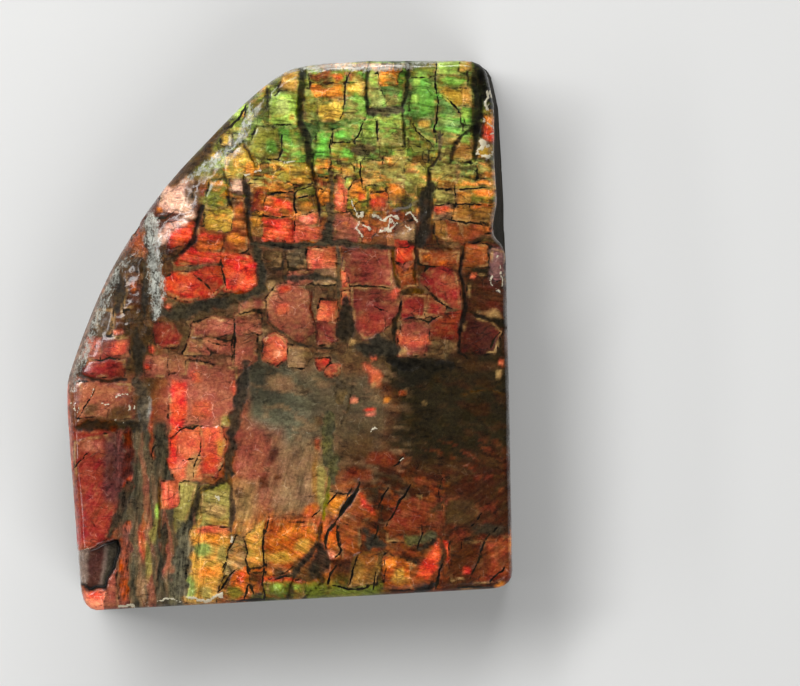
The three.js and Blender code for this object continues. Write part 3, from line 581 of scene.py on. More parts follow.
# Veins of matrix and calcite between the tiles: colour, width, then the line it follows
VEINS = [
    ("ink", 1, 1.6, 29, 1.5, 26.4, 1.3, 24, 1.1, 22.5, 1.1, 21.2),
    ("peat", 0.9, 1.2, 21.4, 1.8, 20, 2, 18, 2.3, 17),
    ("black", 0.45, 2.5, 18.5, 2.4, 17, 2.7, 15.6, 2.9, 13.8, 3, 11.8),
    ("pitch", 0.5, 8.1, 29, 8, 25, 7.9, 22.4),
    ("pitch", 0.75, 12, 29, 11.9, 25, 11.5, 23.2),
    ("black", 0.35, 11.5, 23.2, 11.4, 21, 11.5, 19),
    ("ink", 1.3, 18.9, 29, 18.9, 24, 18.7, 20.8),
    ("ink", 0.7, 18.7, 21.4, 18.9, 19.5, 18.9, 17.6),
    ("peat", 0.5, 18.2, 20.9, 17.3, 20.1, 16.6, 18.6, 16.3, 17.6),
    ("taupe", 0.5, 15.2, 20.6, 15.3, 19, 15.2, 17.8),
    ("taupe", 0.9, 8.2, 22.6, 9.8, 22.6, 11.4, 22.7),
    ("taupe", 1.3, 6.6, 18.7, 8.4, 18.7),
    ("black", 0.35, -4.5, 19.2, -3.9, 18.4, -3.3, 17),
    ("umber", 1.5, -11.9, 15.3, -9.6, 17.9, -7.4, 20.3, -6.3, 21.3),
    ("peat", 0.45, -2.2, 25, -2.2, 23.6, -2.3, 22.7),
    ("taupe", 0.6, 4.2, 16.7, 4.3, 15.5, 4.5, 14.2),
    ("taupe", 1, 4.4, 15, 4.4, 12, 4.3, 10),
    ("slate", 1.7, 4.3, 11, 4.2, 9.4),
    ("slate", 0.9, -3.6, 9.1, 0, 9.1, 4, 9.3, 8, 9.1, 10.6, 8.8),
    ("taupe", 0.6, 5, 9, 4.9, 7, 4.9, 4),
    ("pitch", 0.6, -8.6, 13, -9.2, 11.5, -9.7, 9.8, -10.2, 8.8, -11, 8.2, -12.2, 7.7),
    ("pitch", 0.35, -6.5, 16.5, -6.2, 15, -6, 14, -5.7, 13),
    ("pitch", 0.7, -4.5, 16, -4.2, 14, -4.3, 12, -4.1, 11, -3.6, 9.4),
    ("slate", 1.1, -3.2, 9.2, -3, 7.4, -2.9, 5.2),
    ("slate", 1.5, -14, 1.9, -11, 2.4, -8.6, 2.8, -6, 3.5, -3.6, 4.3, -2.6, 4.8),
    ("moor", 0.35, -2.4, 3.2, -2.2, 1.6, -1.5, 0.8, -0.5, 0.1, 0.6, -0.6, 1.8, -1, 4.4, -1.3),
    ("maroon", 0.3, 2.3, 4.4, 2.4, 2.5, 2.9, 0.5, 2.8, -0.8),
    ("slate", 0.8, -0.4, 5.9, 2, 5.9, 4.6, 5.6),
    ("moor", 1.7, 5.7, 3.2, 5.7, 1.6, 5.6, -0.4),
    ("pitch", 0.4, 15.3, 18.6, 14.6, 17.6, 13.9, 17, 13.9, 15.2, 14, 14),
    ("moor", 1.8, 14.1, 15, 13.8, 13, 13.6, 11.4, 13.5, 9),
    ("peat", 0.3, 12.9, 11.4, 12.8, 9, 12.8, 7, 12.5, 5),
    ("peat", 0.3, 14.8, 11.4, 14.7, 10.4, 15.2, 9.1, 16.4, 8.7),
    ("ink", 0.5, 17.7, 9.2, 17.4, 7.5, 17.3, 6.4, 17.7, 5, 17.7, 3, 17.3, 0.4, 17.2, -1.6, 18.3, -2.3),
    ("peat", 0.3, 17.8, 2.5, 18.8, 2.2, 20.5, 1.6, 21.9, 0.9),
    ("umber", 0.5, 10.5, 8.8, 10.6, 6.8, 10.9, 5),
    ("pitch", 0.5, 11.1, 2.9, 10.8, 2.2, 10.6, 1.3, 10.6, -1),
    ("umber", 0.9, 11, 4.4, 13.3, 4.4),
    ("slate", 1.9, 7, -1.3, 8.6, -1, 10.6, -1.2),
    ("pitch", 1.2, 10.2, -2.3, 11.6, -3.2, 13, -2.8, 14.6, -3.4, 16.6, -2.8),
    # left side
    ("moor", 1.1, -14.4, 12, -14.2, 9, -13.6, 6, -13.4, 4, -13.6, 1.6),
    ("moor", 1, -17.4, 6.6, -17.2, 4, -17.4, 2.4),
    ("moor", 0.9, -14.6, 7, -14.5, 4, -14.7, 2),
    ("moor", 1.4, -15.4, 0.6, -15.2, -2, -15.2, -4),
    ("pitch", 0.5, -24, -3.5, -20.6, -3.9, -18.5, -4.5, -16.4, -4.4),
    ("peat", 1.3, -21.3, -9.3, -19.5, -9.1, -17.6, -9, -15, -9.3),
    ("taupe", 1.4, -15.4, -4.6, -14.6, -6, -14.6, -9),
    ("moor", 0.35, -13.6, -11.2, -11.9, -10.2, -11.4, -9.7),
    # lower left columns
    ("slate", 1.4, -12.9, -9, -12.6, -12, -12.3, -14.4),
    ("plum", 1.6, -17.2, -9.9, -17.3, -13, -17, -15.4),
    ("slate", 1.2, -16, -15.2, -17.2, -17.6, -18.2, -20.2),
    ("maroon", 1.3, -16.4, -9.6, -16.2, -12, -16.5, -14.4),
    ("brick", 1.3, -16.3, -19, -16.6, -24, -16.8, -27.4),
    ("umber", 0.4, -13.2, -14.2, -13.2, -17, -13, -20.4),
    ("slate", 0.7, -12.5, -19, -12.9, -23, -13.3, -26),
    ("moor", 0.6, -5.4, -13.6, -7, -14.8, -8.8, -15.8, -9.6, -18, -10.2, -20.2),
    ("ash", 2.2, -10.5, -19.4, -11, -23, -11.5, -27),
    ("slate", 1.4, -4.2, -3, -4.6, -5.4, -5.2, -7.6, -5.8, -9.6, -6, -12, -6.1, -14),
    ("hazel", 0.6, -6, -14, -5.8, -17, -6, -19.6),
    # middle of the near half
    ("taupe", 1.6, 5.2, -4.2, 5.3, -6.8),
    ("moor", 0.3, 6.4, -5.2, 6, -7.5, 5.2, -9),
    ("sage", 1.5, 4, -8.2, 4, -11, 4.3, -14.6),
    ("umber", 0.2, 17.5, -6, 19, -5.5, 20.5, -5.4, 21.7, -5.8),
    # lilac: the worn left rim's grey-pink band, partly painted sheen; pink: painted glare along the lower
    # left rim
    ("lilac", 1.2, -17.6, 8.4, -19, 5, -20.4, 1.8, -21.6, -2, -22.3, -5),
    ("pink", 0.5, -22.4, -5, -22.5, -8, -22.3, -12, -22, -16, -21.7, -21),
    ("olive", 0.5, 3.9, -14.2, 3.7, -17, 3.5, -18.6),
    ("moor", 0.8, 3.3, -19, 3, -20.8, 2.2, -22.2, 1.2, -23.4, 0.4, -24.4),
    ("peat", 0.3, 0.5, -24.3, 0, -25.2, -0.3, -26.8),
    ("moor", 1.6, 3.2, -21.2, 3.2, -22.8, 3.2, -24.8),
    ("peat", 0.4, 3.4, -25, 2.4, -25.8, 1.2, -26.6, 0, -27.2),
    ("slate", 1.5, 7.6, -19.6, 7.9, -20.8, 9.4, -21.2),
    ("moor", 0.8, 13, -21.4, 14.4, -21, 14.8, -20.4),
    ("sage", 1.1, 11.6, -20.6, 13.4, -20.4, 14.6, -20),
    ("pitch", 0.8, 12.4, -26.2, 13.6, -25.6, 14.6, -25),
]

# Open cracks, thin and dark: width, then the line
CRACKS = [
    (0.35, -6.9, 20.9, -5.9, 21.1, -5.2, 21.9, -4.7, 22.9, -4.6, 23.7),
    (0.18, 6.3, 26.9, 5.9, 25.5, 5.7, 24.4, 5.6, 23.4, 5.2, 22.2, 5, 21.7),
    (0.18, 8.3, 22.5, 8.7, 21.6, 8.8, 20.6, 8.8, 19.2),
    (0.15, 7.6, 22, 7.2, 21.2, 6.8, 20.1, 6.4, 19.5),
    (0.15, -2.6, 21.2, -1, 21.3, 0.4, 21.1),
    (0.12, -0.5, 20.6, -0.8, 19.2, -0.9, 17.8),
    (0.18, 4.3, 20.6, 4.2, 19.4, 4.2, 18),
    (0.15, 4.3, 19.4, 6.4, 19.4),
    (0.2, 14.8, 27.6, 14.9, 25, 15, 22.5, 14.8, 21, 14.85, 19.4),
    (0.15, 15.1, 24.4, 16, 23.8, 16.9, 22.8, 17.4, 22, 17.9, 21),
    (0.15, 12.3, 21.6, 12.5, 21, 13.2, 20.4, 14, 19.6, 14.6, 18.9),
    (0.3, -15.2, 12, -13.5, 12, -12.4, 12.1, -11.4, 12.9),
    (0.15, -4, 12.1, -2, 12.1, 0.3, 12.1),
    (0.15, -2.5, 14.1, -1, 14.4, 0.5, 14.4),
    (0.2, 2.6, 15.1, 1, 14.6, 0.5, 14.2, 0.45, 13, 0.5, 11.5, 0.45, 9.8),
    (0.15, 0.8, 13.7, 2.4, 14.1),
    (0.25, 7.2, 17.5, 7.1, 16.5, 7.3, 15.7, 7.5, 14.5),
    (0.15, 14.3, 14.5, 16, 14.7, 17, 14.8, 18.5, 14.8, 20.9, 14.7),
    (0.15, 17, 16, 16.7, 15.2, 16.7, 14, 16.9, 13.3, 16.6, 12.4),
    (0.15, 14.6, 13.2, 16.4, 13.2, 18.2, 13.1, 20.4, 12.9),
    (0.15, 16.2, 11.8, 17, 11.5, 18.2, 11.4, 20.3, 10.6),
    (0.15, 18.1, 9.1, 19.6, 9.4),
    (0.15, 19.9, 8.9, 19.9, 7),
    (0.15, -9.8, 6.3, -8.4, 5, -7.6, 4.1),
    (0.2, -6.8, 7.6, -6.6, 6.5, -6.5, 5, -6.3, 4.3),
    (0.15, 5.8, 7, 6.1, 5.6, 6.2, 4.8, 8, 5, 10.5, 4.8),
    (0.15, 8.6, 2.9, 9.3, 2.6, 10.1, 2.4),
    (0.15, 14, 4.1, 15, 3.6, 15.8, 2.9, 16.6, 2.6),
    (0.15, 11.2, 1.5, 12.5, 1.6, 14, 1.4, 14.5, 1.8, 15.1, 2.2),
    (0.2, 21.4, 0.5, 20.7, -0.3, 20.1, -1.4),
    (0.15, -20.3, -2.3, -18.3, -2.4, -16.6, -2.4),
    (0.15, -8.7, -0.7, -7, -1, -5.9, -1),
    (0.18, -5.6, 2.2, -5.6, 0, -5.5, -3),
    (0.12, -19.3, -5, -20, -6.2, -20.7, -7.2, -21.4, -8.4),
    (0.2, -11.8, -10, -11, -9.4, -10.4, -9.2, -9.6, -9.3, -8.8, -8.9),
    (0.12, -8.9, -9.4, -9, -11, -9.3, -12.4, -9.4, -14.4),
    (0.12, -10.9, -12.5, -9.8, -12.4, -8.9, -12.1),
    (0.12, -20, -11.6, -21, -12.6, -22, -13.6),
    (0.12, -13.3, -10.6, -13.7, -11.8, -13.9, -13),
    (0.75, 7.1, -14.6, 6.7, -15.7, 6, -16.9, 5.4, -17.9, 4.8, -18.8),
    (0.4, 4.9, -18.6, 4.2, -19.7, 3.8, -20.8, 3.7, -21.8),
    (0.25, 4.8, -19, 5.1, -20, 5.1, -21, 5.4, -21.6, 5.2, -22, 4.6, -22.5),
    (0.25, 4.8, -23.1, 4.2, -23.9, 4.1, -24.8, 4, -25.4),
    (0.18, 6.4, -14.8, 6, -15.8, 5.7, -16.4),
    (0.18, 4.8, -15.6, 4.4, -16.2, 3.9, -16.9),
    (0.15, 3.3, -17.5, 2.9, -17.9, 2.4, -18.4),
    (0.22, -1.8, -17.8, -2.2, -18.9, -2.4, -20.4, -2.6, -22, -2.7, -23.4, -2.5, -25.6, -2.3, -26.8),
    (0.18, -5.4, -20, -6.1, -21.6, -6.6, -23, -6.9, -23.8),
    (0.2, -4.7, -20.2, -4.4, -21.4, -4.3, -22.8, -4.1, -23.8, -3.8, -25),
    (0.2, -3.9, -25, -4.3, -25.9, -4.7, -26.8),
    (0.25, -3.8, -25, -3.6, -26.4),
    (0.2, -5.2, -23.6, -6.1, -24.2, -6.6, -25.4, -7.2, -26),
    (0.25, -1.9, -24.8, -1.2, -24.6, -0.6, -24.3, 0.4, -24.3),
    (0.3, -2.4, -25.4, -2.4, -26.8, -4, -26.9, -5.6, -27),
    (0.2, 10, -14.8, 9.7, -15.6, 9.3, -16.2, 9, -17.6),
    (0.2, 9.1, -18.9, 8.8, -19.8, 8.2, -20.8),
    (0.2, 7, -22.2, 6.7, -23.2, 6.2, -24.2, 5.9, -25.2),
    (0.25, 4.3, -25.2, 5.8, -25.4, 7, -25.6, 8.2, -25.2),
    (0.15, 8.7, -23.8, 8.4, -25, 8.2, -26),
    (0.15, 9.7, -22.4, 9.7, -23.4, 9.5, -24.6),
    (0.2, 12.4, -14.8, 11.7, -16, 11, -16.9, 10.8, -17.6, 10.2, -18.6, 9.7, -19.4),
    (0.15, 11.5, -12, 10.9, -12.7, 10.4, -13.2),
    (0.15, 13.4, -12.8, 13, -13.6),
    (0.18, 13.7, -19.4, 13.1, -20.4, 12.7, -21.6),
    (0.3, 15.5, -22.8, 15.1, -23.6, 14.9, -24.8, 14.7, -25.8),
    (0.15, 16, -20.8, 16.1, -22),
    (0.15, 17.5, -20.6, 17.2, -21.8),
    (0.22, 21.4, -19, 20.5, -19.8, 19.7, -21.2, 19, -22.6, 18.5, -24, 18.3, -24.6),
    (0.15, 19.6, -17.6, 19, -18.6, 18.4, -19.3),
    (0.2, 22, -23, 21.6, -23.7, 21.1, -23.9, 20.4, -24.8),
    (0.2, 16.8, -25.6, 18, -25.4, 19.2, -25.3, 21, -25.4),
    (0.12, 15.6, -14, 15.2, -16, 15.6, -18),
]

# Crumpled spots and broken lips of shell that stand up pale, partly painted glints on their ridges: width,
# then the line
LIPS_AND_GLINTS = [
    (0.16, -19.3, -7, -18.4, -7, -18.1, -6.6, -17.6, -6.1, -16.6, -5.6, -16, -5.6),
    (0.12, -16.1, -7, -16, -7.5, -15.7, -7.6, -15.5, -7.3),
    (0.12, -17.8, -8.7, -17.2, -8.5, -16.7, -8.7, -16.6, -9.1),
    (0.1, -22.3, -6.4, -22, -7, -21.6, -7.6, -21.2, -7),
    (0.1, -20, -6.2, -19.4, -5),
    (0.17, 6.2, 13.7, 6.6, 13, 7.1, 12.5, 7.3, 11.8, 7.1, 11, 7.3, 10.2),
    (0.2, 7.7, 11.2, 8.2, 10.8, 8.6, 10.2, 9.6, 10.9, 10.2, 10.7),
    (0.22, 8.5, 12, 9.4, 11.6, 10.3, 12, 11.4, 12.2, 12.3, 12.3, 12.8, 11.7),
    (0.2, 9.9, 11.2, 10.3, 10.7, 10.8, 11.2, 10.4, 11.7, 9.9, 11.3),
    (0.16, 11, 11.4, 11.8, 11, 12.4, 10.8),
    (0.12, -11.4, -17.8, -10.8, -17.3, -10.3, -17.2, -9.8, -16.8),
    (0.32, 20, 25, 20.3, 24.2, 19.9, 23.4, 20.4, 22.7),
    (0.28, 20.5, 24.8, 20.8, 24, 20.4, 23.4),
    (0.26, 19.5, 21.9, 20.1, 21.4, 20.7, 20.8, 20.2, 20.2, 20.8, 19.9),
    (0.36, 19.4, 19.6, 19.3, 18.6, 20.1, 18.1, 20.6, 18.6),
    (0.3, 19.7, 19.3, 20.3, 19.5),
    (0.2, 20.2, 5.9, 20.6, 5, 21, 4.6, 21.2, 4.2),
    (0.2, 20.9, 8, 21.4, 6.4, 21.5, 5.2),
    (0.14, 11.1, -12.7, 11.4, -12.3, 11.6, -12),
    (0.14, -20.8, -25.2, -20.2, -25.4, -19.7, -25.6, -19.2, -25.2),
    (0.12, -21.2, -21.8, -20.7, -21.6, -20.2, -21.5),
    (0.26, -17.2, -27.3, -16.2, -27.2, -15.7, -27.6, -15, -27.2, -14.8, -27.4, -14.2, -27),
    (0.22, -14.2, -26.9, -13.2, -26.6, -12.2, -26.7, -11, -26.8),
    (0.26, -10.3, -26.5, -9.4, -26.4, -8.6, -26.8, -7.8, -26.6, -6.9, -26.2, -6.6, -26.9, -6.5, -27.3),
    (0.36, -7.3, -16.6, -6.9, -16.9, -6.5, -17.2),
    (0.22, -5.9, -20.8, -5.7, -20.4, -5.4, -20.9),
    (0.1, -1.9, 18.6, -1.5, 18.3, -1.8, 17.9, -2.2, 18.2),
    (0.12, -1.7, 16, -1.2, 16.2),
    (0.12, -0.6, 17.2, 0.3, 17.5, 0.8, 17.6),
    (0.2, -5.9, 14.9, -5.2, 15.5, -4.6, 15.9, -3.6, 16.4, -2.8, 16.6),
    (0.09, 8.1, -9.6, 8.4, -9.4, 8.9, -9.6),
    (0.09, 0.7, -9.4, 1.9, -9.6),
]

# Bands of painted glare, grey-white glints of reflected light along the worn rim, the far edge and beside
# some veins: strength, width, then the line
PAINTED_GLARE_BANDS = [
    (1.15, 2.9, -14.2, 12.4, -13.9, 10.4, -13.7, 8.4),
    (1.1, 2.5, -13.6, 9.6, -13.5, 6.6, -13.4, 4.4, -13.6, 1.6),
    (0.95, 1.8, -16, 8, -17.6, 5.9, -19, 2.8, -20.1, 0.5, -21, -2.4, -21.8, -5.4),
    (0.7, 0.9, -17.2, 6.6, -15.8, 7.4, -14.6, 7.3),
    (0.5, 0.9, -11, 12.6, -12.4, 11.6, -13.4, 10.4),
    (1.05, 1.6, -4, 23.6, -4.2, 21.6, -4.6, 20.2, -6.2, 18.8, -7.8, 17.6, -9.4, 16.4, -10.8, 15.4),
    (0.6, 1.2, -15.2, 12.4, -16.4, 10.6, -17, 9),
    (1.05, 1.3, -3, 25, -1, 26.4, 1.6, 27, 5, 27.1, 9, 27, 12, 27.2, 16, 27.7),
    (0.5, 0.8, -16.4, 9.4, -15.6, 8.4, -15.2, 7.4),
    (0.5, 0.9, -15.4, -8.6, -14.4, -7, -14.2, -5),
    (0.35, 1.5, 13.9, 14.4, 13.6, 11.4, 13.5, 9.6),
    (0.3, 1.4, -12, -27, -11.4, -24),
]

# Patches where the shell between the drawn tiles is broken into small blocks: strength, then the
# box or patch
BLOCKY = [
    (1, -10, 8.4, 23, 29),
    (0.8, -23, -4, -11, 9),
    (0.8, -12, -3.4, 5, 9),
    (0.7, 5, -2, 23, 9),
    (0.25, 4, -27, 23, -13),
    (0.2, -9, -20, 4, -14),
]

# Where the shell's layers are cut through and stand as upright strips
COLUMNS = (
    -17.4, -10, -13.6, -9, -12, -14.6, -8.6, -15, -9.4, -19, -10.6, -21, -10.6, -28.2,
    -18.4, -28.4, -18.2, -24.6, -16.8, -21,
)

# Patches of fine parallel growth lines: direction in degrees, strength, then the box or patch
GROWTH = [
    (-17, 1, -10.8, -27.2, -6, -19.2),
    (-20, 0.9, -6.8, -27, -3, -19.4),
    (-28, 0.9, -2.4, -24.4, 4, -18.4),
    (-25, 0.7, 4, -27, 9.4, -15.4),
    (-15, 1, -9.2, -19.4, -6, -14.8),
    (82, 0.9, -17.6, -28, -12, -9),
    (84, 0.6, -12, -28, -8.6, -14.8),
    (60, 0.4, -22, -21, -17.6, -10.6),
    (-10, 0.8, -12.4, 6.8, 8, 15),
    (-10, 0.8, 14, 8, 21.4, 18),
    (-8, 0.7, 17.8, 2.4, 21.8, 6.4),
    (-18, 0.6, 9, -26.4, 15.4, -13),
    (35, 0.5, 15.6, -26, 23, -14),
    (-8, 0.8, -9, 15, 19, 28),
    (75, 0.5, -6, -20, 4, -10),
    (93, 0.5, -15.6, 1, -12.6, 12.6),
    (85, 0.4, 12.5, 8.8, 14.7, 15),
    (-4, 0.7, 2.4, -16.8, 3.7, -12),
    (66, 0.5, -23, -6, -21, -6, -16.4, 8, -18, 8.6, -20.6, 4),
]

# Patches where a flake of shell has come off: name, depth, slope across and along, the middle that
# the slopes run from, then the patch
FLAKES = [
    ("scar", 0.75, 0.09, -0.03, -19.4, -23.4,
     -23.5, -22, -21.2, -21.8, -20, -21.4, -18.6, -20.9, -17.2, -20.6, -17, -21.6, -17.6, -23,
     -18.3, -24.6, -18.5, -25.6, -19.4, -25.5, -20.2, -25.8, -21, -25.3, -23.5, -24.6),
    ("stripped corner", 0.5, 0.22, 0, 20.6, 24,
     19.2, 30, 19.2, 25, 19.4, 21.5, 20.2, 17.9, 24, 17.6, 24, 30),
    ("crumbled patch", 0.25, 0, 0, 11, 11.7,
     8.2, 10.4, 9.6, 9.9, 11.2, 10.2, 12.6, 10.9, 13.9, 12.4, 13.4, 13.7, 11.8, 12.9, 10.2, 12.6,
     8.8, 12.1),
]

# Crumpled patches: height of the wrinkles, then the box or patch
CRUMPLES = [
    (0.05, -22.6, -3, -20, 3, -17.5, 8.5, -13, 15, -7, 21.5, 0, 27.2, 2, 26, -3, 22, -7.5, 17,
     -11, 11, -13, 6, -14, 2, -18, 0, -20, -3),
    (0.16, 8, 9.8, 13.8, 13.8),
    (0.12, -15.4, 2, -12.6, 12),
    (0.14, 19.4, 17.8, 22, 26),
    (0.12, 20, 4, 22, 9),
    (0.1, -11, 12.6, -3.4, 18.6),
    (0.1, -17.6, -10, -13.6, -4.4),
    (0.12, -17.4, -28, -6, -26.2),
    (0.1, -18, 0, -14, 7),
]

# Chips off the edges: the middle of each, then its size across X, Y and Z
CHIPS = [
    (-12.6, -28.2, 11, 4.6, 1.9, 2.4),
    (-8.6, -28, 10.6, 3.2, 1.3, 2),
    (-16.4, -28.6, 10.8, 2.6, 1.6, 2.2),
    (1.8, -27.8, 10.5, 3.4, 1.4, 1.8),
    (14.2, -26.9, 10.9, 5.2, 1.9, 2.2),
    (9.2, -27.2, 10.2, 2.8, 1.2, 1.8),
    (-3.9, 24.8, 10.4, 2.2, 1.6, 2),
    (-8.2, 20.8, 9.6, 2.8, 2, 2.6),
    (-16.2, 11, 9, 2.6, 2.2, 2.4),
    (22.2, 9.6, 11, 1.6, 3.4, 2),
    (21.9, 20.4, 10.4, 1.4, 3, 2),
]


# ---------------------------------------------------------------------------------------------
# Shapes and noise over the face
# ---------------------------------------------------------------------------------------------
EVERYWHERE = slice(None)


def smoothstep(low, high, value):
    """0 at low and beyond, 1 at high and beyond, and a smooth rise between them."""
    share = np.clip((value - low) / (high - low), 0, 1)
    return share * share * (3 - 2 * share)


def lumps(x, y, size, seed):
    """Smooth random lumps about size across, from -1 to 1."""
    u, v = x / size + 31.7 * seed, y / size + 17.3 * seed
    column, row = np.floor(u).astype(np.int64), np.floor(v).astype(np.int64)
    across, along = u - column, v - row
    across = across * across * (3 - 2 * across)
    along = along * along * (3 - 2 * along)

    def corner(a, b):
        """A random height for the whole-numbered place a, b, always the same one."""
        mixed = (a * 374761393 + b * 668265263 + seed * 974634777) & 0x7FFFFFFF
        mixed = ((mixed ^ (mixed >> 13)) * 1274126177) & 0x7FFFFFFF
        return ((mixed ^ (mixed >> 16)) & 0xFFFF) / 32767.5 - 1

    low = corner(column, row) * (1 - across) + corner(column + 1, row) * across
    high = corner(column, row + 1) * (1 - across) + corner(column + 1, row + 1) * across
    return low * (1 - along) + high * along


def line_points(numbers):
    """A row's numbers as the points of a line."""
    return np.array(numbers, float).reshape(-1, 2)


def corners_of(numbers):
    """A row's numbers as points: four numbers are two opposite corners of a box."""
    if len(numbers) == 4:
        x0, y0, x1, y1 = numbers
        numbers = (x0, y0, x1, y0, x1, y1, x0, y1)
    return line_points(numbers)


def line_distance(x, y, points):
    """Distance to a line, and how far along it the nearest point is, from 0 to 1."""
    best = np.full(x.shape, np.inf)
    place = np.zeros(x.shape)
    lengths = np.hypot(*np.diff(points, axis=0).T)
    total, gone = lengths.sum(), 0.0
    for (x0, y0), (x1, y1), length in zip(points[:-1], points[1:], lengths):
        dx, dy = x1 - x0, y1 - y0
        share = np.clip(((x - x0) * dx + (y - y0) * dy) / (length * length), 0, 1)
        distance = np.hypot(x - x0 - share * dx, y - y0 - share * dy)
        nearer = distance < best
        best = np.where(nearer, distance, best)
        place = np.where(nearer, (gone + share * length) / total, place)
        gone += length
    return best, place


def patch_distance(x, y, points):
    """Distance to the edge of a patch, negative inside it."""
    closed = np.vstack([points, points[:1]])
    distance, _ = line_distance(x, y, closed)
    inside = np.zeros(x.shape, bool)
    for (x0, y0), (x1, y1) in zip(closed[:-1], closed[1:]):
        crosses = (y0 > y) != (y1 > y)
        rise = y1 - y0 if y1 != y0 else 1e-9
        inside ^= crosses & (x < (x1 - x0) * (y - y0) / rise + x0)
    return np.where(inside, -distance, distance)


def spot_distance(x, y, points):
    """Distance to the edge of a rounded spot that fills the points' box, negative inside it."""
    low, high = points.min(0), points.max(0)
    middle, reach = (low + high) / 2, (high - low) / 2
    share = np.abs((x - middle[0]) / reach[0]) ** 3.2 + np.abs((y - middle[1]) / reach[1]) ** 3.2
    return (share ** (1 / 3.2) - 1) * reach.min()


def near(x, y, points, margin):
    """The places within a margin of the points' box."""
    low, high = points.min(0) - margin, points.max(0) + margin
    return (x > low[0]) & (x < high[0]) & (y > low[1]) & (y < high[1])


# ---------------------------------------------------------------------------------------------
# The slab's form
# ---------------------------------------------------------------------------------------------
CORNER_STEPS = 5


def curve_through(points, steps):
    """Points of a smooth curve through the given ones."""
    points = np.array(points, float)
    padded = np.vstack([2 * points[0] - points[1], points, 2 * points[-1] - points[-2]])
    curve = []
    for a, b, c, d in zip(padded[:-3], padded[1:-2], padded[2:-1], padded[3:]):
        for step in range(steps):
            t = step / steps
            curve.append(0.5 * (2 * b + (c - a) * t + (2 * a - 5 * b + 4 * c - d) * t**2
                                + (3 * b - 3 * c + d - a) * t**3))
    return curve + [points[-1]]


def corner_arc(start, control, end):
    """Points of a rounded corner, without its start and end."""
    start, control, end = (np.array(point, float) for point in (start, control, end))
    shares = [step / CORNER_STEPS for step in range(1, CORNER_STEPS)]
    return [(1 - t) ** 2 * start + 2 * t * (1 - t) * control + t * t * end for t in shares]


def slab_outline():
    """The slab's outline, anticlockwise from the near left corner."""
    outline = [np.array((-19.8, NEAR)), np.array((20.5, -25.9))]
    outline += corner_arc((20.5, -25.9), (RIGHT, -25.8), SAWN_SIDE[0])
    outline += [np.array(point, float) for point in SAWN_SIDE]
    outline += corner_arc(SAWN_SIDE[-1], (20.7, FAR), (18.2, FAR))
    outline += [np.array((18.2, FAR)), np.array((8, 28.05))]
    outline += curve_through(WORN_SIDE, 3)
    outline += corner_arc(WORN_SIDE[-1], (-21.3, -27.9), (-19.8, NEAR))
    return np.array(outline)


OUTLINE = slab_outline()
WORN_CURVE = np.array(curve_through(WORN_SIDE, 6))


def edge_reach(x, y):
    """How far in from the outline each place lies, and the blended outward direction there."""
    following = np.roll(OUTLINE, -1, axis=0)
    along = following - OUTLINE
    along /= np.hypot(along[:, 0], along[:, 1])[:, None]
    outward = np.stack([along[:, 1], -along[:, 0]], 1)
    reach = np.array([(px - x) * nx + (py - y) * ny for (px, py), (nx, ny) in zip(OUTLINE, outward)])
    nearest = reach.min(0)
    weight = np.exp(-CORNER_BLEND * (reach - nearest))
    facing = np.tensordot(weight, outward, axes=([0], [0]))
    facing /= np.linalg.norm(facing, axis=-1, keepdims=True)
    return nearest, facing


def face_height(x, y):
    """Height of the polished face, without its cracks."""
    dome = DOME * (0.5 * ((x - 6) / 29) ** 2 + 0.5 * (y / 28) ** 2)
    swell = 0.1 * np.sin(x * 0.42 + 1.1) * np.cos(y * 0.37) + 0.06 * np.sin(x * 0.9 - y * 0.7)
    broad = smoothstep(-8, 2, y) * (1 - smoothstep(19, 27, y))
    width = SHOULDER_NARROW + (SHOULDER_WIDTH - SHOULDER_NARROW) * broad
    distance, _ = line_distance(x, y, WORN_CURVE)
    outward = np.clip(1 - distance / width, 0, 1)
    shoulder = SHOULDER_SLOPE * width * (1 - np.sqrt(1 - outward**2))
    return FACE_MIDDLE - dome + swell - shoulder


def upper_lean(y):
    """How far the sawn side leans in beside the upper right of the face."""
    easing = 0.35 * smoothstep(11, 14, y) + 0.25 * smoothstep(17, 24, y)
    return 1.2 * smoothstep(8.5, 10.5, y) * (1 - easing)


def warped(x, y):
    """Places shifted a little, so that drawn lines break as stone does."""
    shift_x = 0.2 * lumps(x, y, 2.3, 3) + 0.1 * lumps(x, y, 0.9, 4) + 0.06 * lumps(x, y, 0.4, 8)
    shift_y = 0.2 * lumps(x, y, 2.3, 5) + 0.1 * lumps(x, y, 0.9, 6) + 0.06 * lumps(x, y, 0.4, 9)
    return x + shift_x, y + shift_y


